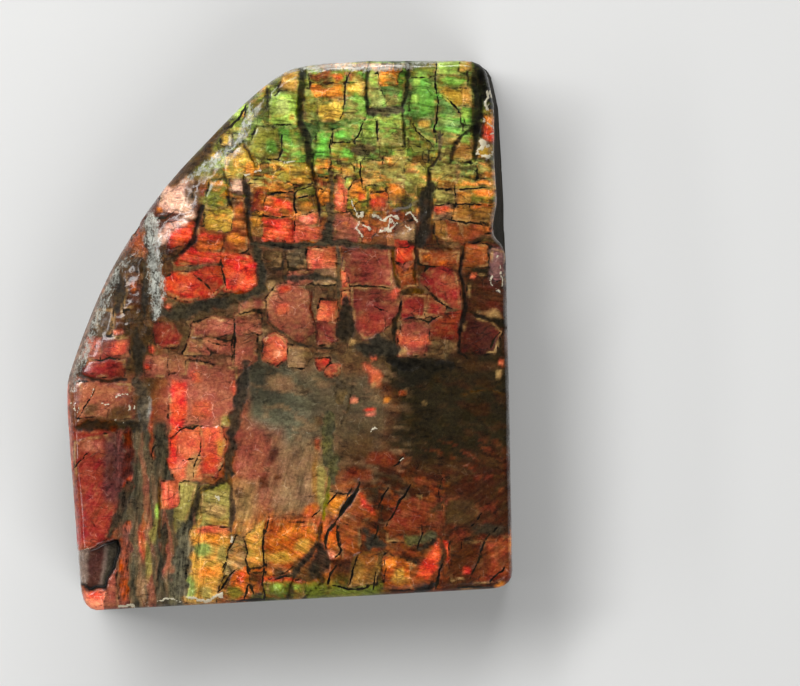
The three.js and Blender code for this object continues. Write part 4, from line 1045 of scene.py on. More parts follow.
class Face:
    """Everything that changes over the polished face, worked out at the given places."""

    def __init__(self, x, y):
        count = len(x)
        self.x, self.y = x, y
        self.bent_x, self.bent_y = warped(x, y)
        self.colour = np.tile(linear("rust"), (count, 1))
        self.seam = np.zeros(count)  # dark joins round the tiles
        self.join = np.zeros(count)  # the wider band where two tiles meet
        self.matrix = np.zeros(count)  # shale and calcite of the veins
        # lip: pale broken edges of shell, partly painted glints
        self.lip_and_glint = np.zeros(count)  # pale broken edges of shell
        self.growth = np.zeros(count)  # fine parallel growth lines
        self.turn = np.full(count, math.radians(GROWTH_TURN))  # the direction of those lines
        self.blocks = np.zeros(count)  # shell broken into small blocks
        self.craze = np.full(count, 0.15)  # fine cracks in the polished layer
        self.crack = np.zeros(count)  # open cracks
        self.dull = np.zeros(count)  # places without polish
        self.rough = np.zeros(count)  # crumpled patches
        # painted glare: grey-white glints that stand for reflected light
        self.glare_silver = np.zeros(count)  # grey-white glints
        self.relief = np.zeros(count)  # millimetres above the plain face
        self.paint_washes()
        self.lay_blocks()
        self.paint_columns()
        self.paint_tiles()
        self.lay_growth_lines()
        self.paint_mottles()
        self.paint_touches()
        self.paint_veins()
        self.paint_cracks()
        self.dull_near_rim()
        self.break_flakes()
        self.paint_lips_and_glints()
        self.paint_glare_bands()
        self.crumple()

    def blend(self, where, colour, cover):
        """Paints a named colour over some places, as thickly as cover says."""
        cover = cover[:, None]
        self.colour[where] = self.colour[where] * (1 - cover) + linear(colour) * cover

    def paint_washes(self):
        """Broad areas of colour with soft, wandering edges."""
        x = self.x + 0.9 * lumps(self.x, self.y, 3.1, 11)
        y = self.y + 0.9 * lumps(self.x, self.y, 3.1, 12)
        for colour, *numbers in WASHES:
            points = corners_of(numbers)
            where = near(x, y, points, 2)
            cover = 1 - smoothstep(-1.4, 1.5, patch_distance(x[where], y[where], points))
            self.blend(where, colour, cover)

    def lay_blocks(self):
        """Marks the patches where the shell is broken into small blocks."""
        for strength, *numbers in BLOCKY:
            points = corners_of(numbers)
            cover = 1 - smoothstep(-0.8, 0.8, patch_distance(self.x, self.y, points))
            self.blocks = np.maximum(self.blocks, strength * cover)

    def paint_columns(self):
        """The lower left, where the shell's layers are cut through and stand as upright strips."""
        points = corners_of(COLUMNS)
        cover = 1 - smoothstep(-0.5, 0.5, patch_distance(self.bent_x, self.bent_y, points))
        across = self.bent_x + 0.1 * (self.bent_y + 18)
        strips = lumps(across, self.bent_y * 0.09, 0.8, 71)
        strips = strips + 0.7 * lumps(across, self.bent_y * 0.16, 0.36, 72)
        tint = lumps(across, self.bent_y * 0.2, 0.5, 73)
        self.blend(EVERYWHERE, "brick", 0.6 * cover * smoothstep(0.2, 0.8, strips))
        self.blend(EVERYWHERE, "slate", 0.75 * cover * smoothstep(-0.1, -0.7, strips))
        self.blend(EVERYWHERE, "clay", 0.5 * cover * smoothstep(0.2, 0.7, tint))

    def paint_tiles(self):
        """Each tile reaches out a little, so that near neighbours meet at a thin crack."""
        first = np.full(len(self.x), FAR_OFF)
        second = np.full(len(self.x), FAR_OFF)
        for number, (colour, *numbers) in enumerate(TILES):
            points = corners_of(numbers)
            where = near(self.bent_x, self.bent_y, points, 1)
            distance = patch_distance(self.bent_x[where], self.bent_y[where], points)
            nearer = distance < first[where]
            second[where] = np.minimum(second[where], np.where(nearer, first[where], distance))
            first[where] = np.where(nearer, distance, first[where])
            cover = (1 - smoothstep(TILE_REACH - 0.12, TILE_REACH + 0.14, distance)) * nearer
            self.blend(where, colour, 0.94 * cover)
            self.shade_tile(number, where, points, distance, cover)
            self.tilt_tile(number, where, points, cover)
        self.draw_seams(first, second)

    def shade_tile(self, number, where, points, distance, cover):
        """Each tile gets lighter in a direction of its own, and darker towards its edge."""
        middle_x, middle_y = points.mean(0)
        size = np.ptp(points, axis=0).max()
        across = (self.x[where] - middle_x) * math.cos(1.9 * number) / size
        along = (self.y[where] - middle_y) * math.sin(1.9 * number) / size
        shading = 1.08 + 0.7 * (across + along) - 0.36 * smoothstep(-0.4, 0.1, distance)
        self.colour[where] *= (1 + (np.clip(shading, 0.5, 1.5) - 1) * cover)[:, None]
        self.blocks[where] *= 1 - 0.75 * cover
        self.craze[where] = np.maximum(self.craze[where], 0.9 * cover)

    def tilt_tile(self, number, where, points, cover):
        """Each tile lies some hundredths of a millimetre high or low, and leans a little."""
        middle_x, middle_y = points.mean(0)
        lift = 0.025 * math.sin(7.3 * number) * cover
        tilt = 0.015 * math.sin(3.1 * number) * (self.x[where] - middle_x)
        tilt += 0.015 * math.cos(5.7 * number) * (self.y[where] - middle_y)
        self.relief[where] = self.relief[where] * (1 - cover) + (lift + tilt) * cover

    def draw_seams(self, first, second):
        """Dark seams round the tiles, from the distances to the two nearest, and chipped rims."""
        rim = np.exp(-((first - TILE_REACH) / 0.13) ** 2)
        self.join = np.exp(-(((second - first) / 0.5) ** 2)) * (first < TILE_REACH + 0.3)
        meeting = np.exp(-(((second - first) / 0.17) ** 2)) * (first < TILE_REACH + 0.1)
        self.seam = np.maximum(0.68 * rim, 0.78 * meeting)
        chipped = smoothstep(-0.2, 0.4, lumps(self.x, self.y, 1.2, 34))
        self.blend(EVERYWHERE, "tan", 0.7 * chipped * np.exp(-((first - 0.02) / 0.11) ** 2))
        self.relief -= 0.03 * np.maximum(rim, meeting)

    def lay_growth_lines(self):
        """Marks where growth lines show, and which way they run."""
        for degrees, strength, *numbers in GROWTH:
            points = corners_of(numbers)
            where = near(self.x, self.y, points, 1)
            distance = patch_distance(self.x[where], self.y[where], points)
            cover = 1 - smoothstep(-0.4, 0.4, distance)
            self.growth[where] = np.maximum(self.growth[where], strength * cover)
            self.turn[where] = np.where(distance < 0, math.radians(degrees), self.turn[where])

    def paint_mottles(self):
        """Small ragged patches of other colours scattered over parts of the face."""
        for seed, (colour, strength, size, *numbers) in enumerate(MOTTLES, start=81):
            points = corners_of(numbers)
            where = near(self.x, self.y, points, 1.5)
            cover = 1 - smoothstep(-0.8, 0.8, patch_distance(self.x[where], self.y[where], points))
            x, y, turn = self.bent_x[where], self.bent_y[where], self.turn[where]
            along = 0.6 * (x * np.cos(turn) + y * np.sin(turn))
            across = 1.5 * (y * np.cos(turn) - x * np.sin(turn))
            patches = lumps(along, across, size, seed)
            patches = patches + 0.6 * lumps(along, across, size / 2, seed + 20)
            self.blend(where, colour, strength * cover * smoothstep(0.25, 0.7, patches))

    def paint_touches(self):
        """Small soft-edged touches of colour."""
        x = self.bent_x + 0.18 * lumps(self.x, self.y, 0.8, 13)
        y = self.bent_y + 0.18 * lumps(self.x, self.y, 0.8, 14)
        for colour, *numbers in TOUCHES:
            points = corners_of(numbers)
            where = near(x, y, points, 1)
            distance_to = spot_distance if len(numbers) == 4 else patch_distance
            distance = distance_to(x[where], y[where], points)
            soft = 0.06 + 0.1 * min(1.5, np.ptp(points, axis=0).min())
            self.blend(where, colour, 0.85 * (1 - smoothstep(-1.3 * soft, soft, distance)))

    def paint_veins(self):
        """Veins of shale and calcite, dull and a little sunken, that narrow at both ends."""
        uneven = 0.9 + 0.35 * lumps(self.x, self.y, 1.1, 21) + 0.3 * lumps(self.x, self.y, 0.45, 23)
        for colour, width, *numbers in VEINS:
            points = line_points(numbers)
            where = near(self.bent_x, self.bent_y, points, width + 0.5)
            distance, place = line_distance(self.bent_x[where], self.bent_y[where], points)
            half = width / 2 * uneven[where] * (1 - 0.35 * np.abs(2 * place - 1) ** 4)
            soft = 0.06 + 0.14 * width
            cover = 1 - smoothstep(half - soft, half + 0.6 * soft, distance)
            self.blend(where, colour, 0.92 * cover)
            self.matrix[where] = np.maximum(self.matrix[where], cover)
            self.seam[where] *= 1 - 0.85 * cover
            self.blocks[where] *= 1 - cover
            wide = 1 - smoothstep(half, half + 0.35, distance)
            self.dull[where] = np.maximum(self.dull[where], 0.8 * wide)
            depth = 0.02 + 0.06 * min(width, 0.9)
            self.relief[where] = self.relief[where] * (1 - 0.7 * cover) - depth * cover

    def paint_cracks(self):
        """Open cracks, thin and black, that run out to nothing at both ends."""
        uneven = 1 + 0.4 * lumps(self.x, self.y, 0.9, 22)
        for width, *numbers in CRACKS:
            points = line_points(numbers)
            where = near(self.bent_x, self.bent_y, points, 0.8)
            distance, place = line_distance(self.bent_x[where], self.bent_y[where], points)
            taper = 1 - 0.85 * np.abs(2 * place - 1) ** 2.5
            half = 0.02 + 0.34 * width * uneven[where] * taper
            mark = 1 - (distance - half) / CRACK_REACH - 0.12 * (1 - taper)
            self.crack[where] = np.maximum(self.crack[where], mark)
            wide = 1 - smoothstep(half, half + 0.3, distance)
            self.dull[where] = np.maximum(self.dull[where], wide)
            hollow = 1 - smoothstep(half - 0.1, half + 0.22, distance)
            self.relief[where] -= (0.03 + 0.15 * width) * hollow

    def dull_near_rim(self):
        """The rounding along the near end is worn dull."""
        from_end = self.y - (NEAR + 0.055 * (self.x - LEFT))
        self.dull = np.maximum(self.dull, 1 - smoothstep(0.5, 1.9, from_end))

    def break_flakes(self):
        """Lowers the patches where a flake of shell has come off."""
        for name, depth, slope_x, slope_y, middle_x, middle_y, *numbers in FLAKES:
            distance = patch_distance(self.bent_x, self.bent_y, corners_of(numbers))
            cover = 1 - smoothstep(-0.12, 0.06, distance)
            floor = depth + slope_x * (self.x - middle_x) + slope_y * (self.y - middle_y)
            self.relief = self.relief * (1 - 0.7 * cover) - np.clip(floor, 0.05, 1.6) * cover
            if name == "scar":
                self.paint_scar(cover, distance)
            if name == "stripped corner":
                self.paint_stripped_corner(cover)

    def paint_scar(self, cover, distance):
        """Bared lower layers of the shell: lilac grey, maroon and dark grey, from left to right, with a
        painted shadow in black along its right and near edges.
        """
        self.blend(EVERYWHERE, "lilac", cover)
        across = self.bent_x - 0.12 * (self.bent_y + 23.4)
        maroon = smoothstep(-20.7, -20.2, across) * (1 - smoothstep(-19.3, -18.8, across))
        self.blend(EVERYWHERE, "maroon", 0.9 * cover * maroon)
        self.blend(EVERYWHERE, "slate", 0.9 * cover * smoothstep(-19, -18.5, across))
        # Painted shadow: the rim goes black where the scar's floor lies deepest, along its right and near
        # edges.
        shaded = smoothstep(-19.4, -18, self.bent_x) + smoothstep(-24.6, -25.4, self.bent_y)
        rim = np.exp(-((distance + 0.12) / 0.25) ** 2) * np.clip(shaded, 0, 1)
        rim = np.clip(1.3 * rim, 0, 1)
        self.blend(EVERYWHERE, "black", rim)
        self.dull = np.maximum(self.dull, rim)
        self.seam *= 1 - 0.8 * cover
        self.crack *= 1 - cover
        self.matrix = np.maximum(self.matrix, 0.35 * cover)

    def paint_stripped_corner(self, cover):
        """The strip along the far right side is bared down to black shale at its far end."""
        bare = cover * smoothstep(22.6, 24.2, self.y)
        self.blend(EVERYWHERE, "ink", 0.9 * bare)
        self.matrix = np.maximum(self.matrix, 0.8 * bare)

    def paint_lips_and_glints(self):
        """Curled, broken threads of pale shell that stand up a little; their cream is partly painted
        glints, highlights on the ridges.
        """
        broken = smoothstep(-0.75, 0.1, lumps(self.x, self.y, 0.7, 31))
        curled_x = self.bent_x + 0.26 * lumps(self.x, self.y, 0.65, 32)
        curled_y = self.bent_y + 0.26 * lumps(self.x, self.y, 0.65, 33)
        for width, *numbers in LIPS_AND_GLINTS:
            points = line_points(numbers)
            where = near(self.bent_x, self.bent_y, points, 0.8)
            distance, _ = line_distance(curled_x[where], curled_y[where], points)
            pale = (1 - smoothstep(width / 2 - 0.07, width / 2 + 0.08, distance)) * broken[where]
            self.lip_and_glint[where] = np.maximum(self.lip_and_glint[where], pale)
            self.relief[where] += 0.12 * pale
            self.seam[where] *= 1 - pale

    def paint_glare_bands(self):
        """Bands of painted glare, grey-white glints of reflected light, along the worn rim and beside some
        veins.
        """
        for strength, width, *numbers in PAINTED_GLARE_BANDS:
            points = line_points(numbers)
            where = near(self.bent_x, self.bent_y, points, width)
            distance, place = line_distance(self.bent_x[where], self.bent_y[where], points)
            half = width / 2 * (1 - 0.6 * np.abs(2 * place - 1) ** 3)
            band = strength * (1 - smoothstep(0.3 * half, 1.2 * half, distance))
            self.glare_silver[where] = np.maximum(self.glare_silver[where], band)

    def crumple(self):
        """Wrinkles in the crumpled patches, and a slight waviness all over."""
        ridge = 1 - 2 * np.abs(lumps(self.bent_x, self.bent_y, 0.75, 41))
        ridge += 0.5 * (1 - 2 * np.abs(lumps(self.bent_x, self.bent_y, 0.38, 42)))
        for height, *numbers in CRUMPLES:
            points = corners_of(numbers)
            cover = 1 - smoothstep(-0.5, 0.5, patch_distance(self.x, self.y, points))
            self.rough = np.maximum(self.rough, cover)
            self.relief += 0.5 * height * ridge * cover
        self.relief += 0.035 * lumps(self.x, self.y, 1.3, 43) + 0.02 * lumps(self.x, self.y, 0.6, 44)


# ---------------------------------------------------------------------------------------------
# Modelling
# ---------------------------------------------------------------------------------------------
def positions(mesh):
    """Where the mesh's points are, in metres."""
    flat = np.empty(len(mesh.vertices) * 3)
    mesh.vertices.foreach_get("co", flat)
    return flat.reshape(-1, 3)


def face_middles(mesh):
    """Where the middles of the mesh's faces are, in metres."""
    flat = np.empty(len(mesh.polygons) * 3)
    mesh.polygons.foreach_get("center", flat)
    return flat.reshape(-1, 3)


def select_faces(slab, chosen):
    """Leaves edit mode, selects only the chosen faces and comes back to edit mode."""
    bpy.ops.mesh.select_mode(type="FACE")
    bpy.ops.mesh.select_all(action="DESELECT")
    bpy.ops.object.mode_set(mode="OBJECT")
    slab.data.polygons.foreach_set("select", np.asarray(chosen, bool))
    bpy.ops.object.mode_set(mode="EDIT")


def select_boundary():
    """Selects only the open edge round the face."""
    bpy.ops.mesh.select_mode(type="EDGE")
    bpy.ops.mesh.select_all(action="DESELECT")
    bpy.ops.mesh.select_non_manifold(extend=False, use_wire=False, use_multi_face=False,
                                     use_non_contiguous=False, use_verts=False)


def sawn_blank():
    """The face as a fine sheet, cut to the outline."""
    bpy.ops.object.select_all(action="DESELECT")
    columns, rows = round(WIDTH / FACE_CELL), round(LENGTH / FACE_CELL)
    bpy.ops.mesh.primitive_grid_add(x_subdivisions=columns, y_subdivisions=rows, size=1,
                                    location=(0, 0, THICKNESS * MM))
    slab = bpy.context.active_object
    slab.name = slab.data.name = "ammolite_slab_face_up"
    bpy.ops.object.mode_set(mode="EDIT")
    bpy.ops.transform.resize(value=(WIDTH * MM, LENGTH * MM, 1))
    cut_to_outline()
    bpy.ops.object.mode_set(mode="OBJECT")
    bpy.ops.object.transform_apply(location=True, rotation=True, scale=True)
    return slab


def cut_to_outline():
    """Cuts the sheet along each side of the outline in turn and drops what is outside."""
    following = np.roll(OUTLINE, -1, axis=0)
    for (x, y), (next_x, next_y) in zip(OUTLINE, following):
        bpy.ops.mesh.select_all(action="SELECT")
        length = math.hypot(next_x - x, next_y - y)
        outward = ((next_y - y) / length, (x - next_x) / length, 0)
        bpy.ops.mesh.bisect(plane_co=(x * MM, y * MM, 0), plane_no=outward, clear_outer=True,
                            threshold=1e-6)
    bpy.ops.mesh.select_all(action="SELECT")
    bpy.ops.mesh.remove_doubles(threshold=0.05 * MM)


def refine_seams(slab):
    """Halves the face's quads wherever a column, a seam, a crack, a vein's edge or a lip runs."""
    middles = face_middles(slab.data) / MM
    face = Face(middles[:, 0], middles[:, 1])
    vein_edge = face.matrix * (1 - face.matrix) * 4
    marks = [(face.seam, 0.3), (face.join, 0.35), (face.crack, 0.1), (vein_edge, 0.35), (face.lip_and_glint, 0.1)]
    busy = patch_distance(face.x, face.y, corners_of(COLUMNS)) < 0
    for mark, least in marks:
        busy |= mark > least
    bpy.ops.object.mode_set(mode="EDIT")
    select_faces(slab, busy)
    bpy.ops.mesh.subdivide(number_cuts=1)
    bpy.ops.object.mode_set(mode="OBJECT")


def add_walls_and_back(slab):
    """Walls pulled down from the face's edge in rings, and a flat back."""
    bpy.ops.object.mode_set(mode="EDIT")
    select_boundary()
    step = THICKNESS / WALL_RINGS
    for _ in range(WALL_RINGS):
        bpy.ops.mesh.extrude_region_move(TRANSFORM_OT_translate={"value": (0, 0, -step * MM)})
    bpy.ops.mesh.edge_face_add()
    bpy.ops.mesh.inset(thickness=BACK_INSET * MM)
    bpy.ops.mesh.select_all(action="SELECT")
    bpy.ops.mesh.normals_make_consistent(inside=False)
    bpy.ops.object.mode_set(mode="OBJECT")


def face_level(face, reach):
    """Height of the finished face: its dome, its rounded rim and the relief of its shell."""
    rounding = np.clip(1 - reach / RIM_RADIUS, 0, 1)
    drop = RIM_RADIUS * (1 - np.sqrt(1 - rounding**2))
    calm = smoothstep(0, 1.2, reach)
    return face_height(face.x, face.y) - drop + face.relief * (0.55 + 0.45 * calm)


def wall_inset(u, v, level, share):
    """How far the rough, bedded wall stands back from the outline at each level."""
    around = np.arctan2(v, u) * WALL_RADIUS
    beds = lumps(around, level * 5.5, 6, 51) * 0.5 + lumps(around, level * 2.2, 1.6, 52) * 0.3
    beds += lumps(around, level, 3.2, 53) * 0.6
    rough = 0.16 * np.minimum(1, 4 * share * (1 - share)) + 0.03
    return BASE_ROUNDING * (1 - np.clip(level / BASE_ROUNDING, 0, 1)) ** 2 + rough * (1 + beds)


def shape_slab(slab):
    """Moves the blank's points to the slab's real form; returns the face and each point's depth."""
    places = positions(slab.data) / MM
    u, v, level = places.T
    reach, facing = edge_reach(u, v)
    on_face = level > THICKNESS - 1e-3
    rim_x = u * FACE_SHARE_X - upper_lean(v) * smoothstep(13, 21, u)
    rim_y = v * FACE_SHARE_Y
    face = Face(rim_x, rim_y)

    share = np.clip(level / THICKNESS, 0, 1)
    inset = wall_inset(u, v, level, share)
    wall_x = u + (rim_x - u) * share**1.5 - facing[:, 0] * inset
    wall_y = v + (rim_y - v) * share**1.5 - facing[:, 1] * inset
    wall_z = share * (face_height(rim_x, rim_y) - RIM_RADIUS)

    places[:, 0] = np.where(on_face, rim_x, wall_x)
    places[:, 1] = np.where(on_face, rim_y, wall_y)
    places[:, 2] = np.where(on_face, face_level(face, np.clip(reach, 0, None)), wall_z)
    dent_chips(places)
    slab.data.vertices.foreach_set("co", (places * MM).ravel())
    slab.data.update()
    return face, (1 - share) * THICKNESS


def dent_chips(places):
    """Presses each chip's rough hollow into the edge it broke from."""
    for x, y, z, *size in CHIPS:
        from_middle = (places - (x, y, z)) / (np.array(size) / 2)
        reach = np.linalg.norm(from_middle, axis=1)
        rough = 1 + 0.12 * lumps(places[:, 0] * 2, places[:, 1] * 2 + places[:, 2], 0.8, 61)
        inside = (reach < rough) & (reach > 1e-6)
        pushed = from_middle[inside] * (rough[inside] / reach[inside])[:, None]
        places[inside] = pushed * (np.array(size) / 2) + (x, y, z)


def store(mesh, name, kind, values):
    """Keeps a value for each point of the mesh, for the materials to read."""
    attribute = mesh.attributes.new(name, kind, "POINT")
    field = {"FLOAT": "value", "FLOAT_COLOR": "color", "FLOAT_VECTOR": "vector"}[kind]
    attribute.data.foreach_set(field, np.ascontiguousarray(values, np.float32).ravel())


def store_marks(slab, face, below):
    """The face's colours and marks, how far down the walls each point lies, and the grain."""
    mesh = slab.data
    count = len(mesh.vertices)
    store(mesh, "Glow", "FLOAT_COLOR", np.column_stack([face.colour, np.ones(count)]))
    marks = {
        "Seam": face.seam,
        "Matrix": face.matrix,
        "LipAndGlint": face.lip_and_glint,
        "Growth": face.growth,
        "Blocks": face.blocks,
        "Dull": face.dull,
        "Rough": face.rough,
        "Craze": face.craze,
        "PaintedGlare": face.glare_silver,
        "Crack": face.crack,
        "Below": below,
    }
    for name, values in marks.items():
        store(mesh, name, "FLOAT", values)
    x, y, _ = (positions(mesh) / MM).T
    along = x * np.cos(face.turn) + y * np.sin(face.turn)
    across = y * np.cos(face.turn) - x * np.sin(face.turn)
    store(mesh, "Grain", "FLOAT_VECTOR", np.column_stack([along, across, np.zeros(count)]))


# The share of the map's width that a millimetre takes, and the map's empty margin
FACE_SCALE, WALL_SCALE, BACK_SCALE = 1 / 66, 1 / 112, 1 / 210
MAP_MARGIN = 0.01


def unfold(slab, lower):
    """A map with the face large, the walls in strips beside it and the back small."""
    mesh = slab.data
    layer = mesh.uv_layers.new(name="OFBake")
    corner = np.empty(len(mesh.loops), np.int64)
    mesh.loops.foreach_get("vertex_index", corner)
    totals = np.empty(len(mesh.polygons), np.int64)
    mesh.polygons.foreach_get("loop_total", totals)
    normals = np.empty(len(mesh.polygons) * 3)
    mesh.polygons.foreach_get("normal", normals)
    middles = face_middles(mesh) / MM
    downward = (middles[:, 2] < 0.02) & (normals.reshape(-1, 3)[:, 2] < -0.5)
    back = np.repeat(lower & downward, totals)
    wall = np.repeat(lower, totals)
    _, facing = edge_reach(middles[:, 0], middles[:, 1])
    facing_x, facing_y = np.repeat(facing, totals, axis=0).T

    x, y, z = (positions(mesh) / MM)[corner].T
    from_left, from_near = x + RIGHT, y + FAR
    u, v = MAP_MARGIN + from_left * FACE_SCALE, MAP_MARGIN + from_near * FACE_SCALE
    upright_v = MAP_MARGIN + from_near * WALL_SCALE
    level_u = MAP_MARGIN + from_left * WALL_SCALE
    sideways = np.abs(facing_x) > np.abs(facing_y)
    strips = [
        (wall & sideways & (facing_x < 0), 0.71 + z * WALL_SCALE, upright_v),
        (wall & sideways & (facing_x >= 0), 0.85 + z * WALL_SCALE, upright_v),
        (wall & ~sideways & (facing_y < 0), level_u, 0.88 + z * WALL_SCALE),
        (wall & ~sideways & (facing_y >= 0), 0.45 + level_u, 0.88 + z * WALL_SCALE),
        (back, 0.72 + from_left * BACK_SCALE, 0.56 + from_near * BACK_SCALE),
    ]
    for chosen, strip_u, strip_v in strips:
        u = np.where(chosen, strip_u, u)
        v = np.where(chosen, strip_v, v)
    layer.data.foreach_set("uv", np.column_stack([u, v]).astype(np.float32).ravel())


# ---------------------------------------------------------------------------------------------
# Materials
# ---------------------------------------------------------------------------------------------
class Finish:
    """A node material, with short ways to add the nodes it is made of."""

    def __init__(self, name):
        self.material = bpy.data.materials.new(name)
        self.material.use_nodes = True
        self.nodes = self.material.node_tree.nodes
        self.links = self.material.node_tree.links
        self.shader = self.nodes["Principled BSDF"]
        self.place = self.nodes.new("ShaderNodeTexCoord").outputs["Object"]

    def feed(self, socket, value):
        """Links another node's output to a socket, or sets it to a named colour or a number."""
        if isinstance(value, bpy.types.NodeSocket):
            self.links.new(value, socket)
        elif isinstance(value, str):
            socket.default_value = (*linear(value), 1)
        else:
            socket.default_value = value

    def set_surface(self, **values):
        """Feeds the surface's own sockets, each named with _ for a space."""
        for name, value in values.items():
            self.feed(self.shader.inputs[name.replace("_", " ")], value)

    def attribute(self, name, output="Fac"):
        node = self.nodes.new("ShaderNodeAttribute")
        node.attribute_name = name
        return node.outputs[output]

    def stretched(self, vector, *scale):
        node = self.nodes.new("ShaderNodeMapping")
        self.feed(node.inputs["Vector"], vector)
        node.inputs["Scale"].default_value = scale
        return node.outputs["Vector"]

    def noise(self, vector, size, detail=4, rough=0.55, distortion=0.0, output="Fac"):
        """Noise with lumps about size millimetres across; the vector is in metres."""
        node = self.nodes.new("ShaderNodeTexNoise")
        self.feed(node.inputs["Vector"], vector)
        node.inputs["Scale"].default_value = 1 / (size * MM)
        node.inputs["Detail"].default_value = detail
        node.inputs["Roughness"].default_value = rough
        node.inputs["Distortion"].default_value = distortion
        return node.outputs[output]

    def pushed(self, size, rough, reach):
        """The piece's own places, pushed up to half of reach millimetres each way."""
        push = self.nodes.new("ShaderNodeVectorMath")
        push.operation = "MULTIPLY_ADD"
        self.feed(push.inputs[0], self.noise(self.place, size, 3, rough, output="Color"))
        push.inputs[1].default_value = (reach * MM,) * 3
        push.inputs[2].default_value = (-reach / 2 * MM,) * 3
        return self.mix(1, self.place, push.outputs[0], "ADD")

    def cells(self, vector, size, feature):
        """Random cells about size millimetres across."""
        node = self.nodes.new("ShaderNodeTexVoronoi")
        node.feature = feature
        self.feed(node.inputs["Vector"], vector)
        node.inputs["Scale"].default_value = 1 / (size * MM)
        return node

    def cell_lines(self, vector, size, width):
        """Lines between random cells; the width is a share of the cells' size."""
        distance = self.cells(vector, size, "DISTANCE_TO_EDGE").outputs["Distance"]
        return self.span(distance, 0, width, 1, 0)

    def square_cells(self, vector, size):
        """Nearly square cells: each one's random shade, and the distance to the next one."""
        squashed = self.stretched(vector, 1, 0.85, 0)
        own, other = self.cells(squashed, size, "F1"), self.cells(squashed, size, "F2")
        for node in (own, other):
            node.distance = "CHEBYCHEV"
            node.inputs["Randomness"].default_value = 0.9
        shade = self.nodes.new("ShaderNodeSeparateColor")
        self.feed(shade.inputs["Color"], own.outputs["Color"])
        gap = self.math("SUBTRACT", other.outputs["Distance"], own.outputs["Distance"])
        return shade.outputs, gap

    def math(self, operation, first, second):
        node = self.nodes.new("ShaderNodeMath")
        node.operation = operation
        self.feed(node.inputs[0], first)
        self.feed(node.inputs[1], second)
        return node.outputs[0]

    def plus(self, first, second):
        return self.math("ADD", first, second)

    def times(self, first, second):
        return self.math("MULTIPLY", first, second)

    def span(self, value, low, high, to_low=0.0, to_high=1.0):
        """The value's stretch from low to high, turned smoothly into to_low to to_high."""
        node = self.nodes.new("ShaderNodeMapRange")
        node.interpolation_type = "SMOOTHSTEP"
        limits = {"From Min": low, "From Max": high, "To Min": to_low, "To Max": to_high}
        for name, number in limits.items():
            node.inputs[name].default_value = number
        self.feed(node.inputs["Value"], value)
        return node.outputs["Result"]

    def swing(self, noise, to_low, to_high):
        """A noise's usual range, 0.3 to 0.7, turned smoothly into to_low to to_high."""
        return self.span(noise, 0.3, 0.7, to_low, to_high)

    def mix(self, share, first, second, way="MIX"):
        node = self.nodes.new("ShaderNodeMix")
        node.data_type = "RGBA"
        node.blend_type = way
        factor, first_colour, second_colour, mixed_colour = 0, 6, 7, 2
        self.feed(node.inputs[factor], share)
        self.feed(node.inputs[first_colour], first)
        self.feed(node.inputs[second_colour], second)
        return node.outputs[mixed_colour]

    def shift(self, colour, hue, saturation, value):
        """The colour with its hue turned, where 0.5 is no turn, and its strength and light scaled."""
        node = self.nodes.new("ShaderNodeHueSaturation")
        self.feed(node.inputs["Hue"], hue)
        self.feed(node.inputs["Saturation"], saturation)
        self.feed(node.inputs["Value"], value)
        self.feed(node.inputs["Color"], colour)
        return node.outputs["Color"]

    def bump(self, height, strength, distance, normal=None):
        node = self.nodes.new("ShaderNodeBump")
        self.feed(node.inputs["Strength"], strength)
        node.inputs["Distance"].default_value = distance * MM
        self.feed(node.inputs["Height"], height)
        if normal is not None:
            self.feed(node.inputs["Normal"], normal)
        return node.outputs["Normal"]


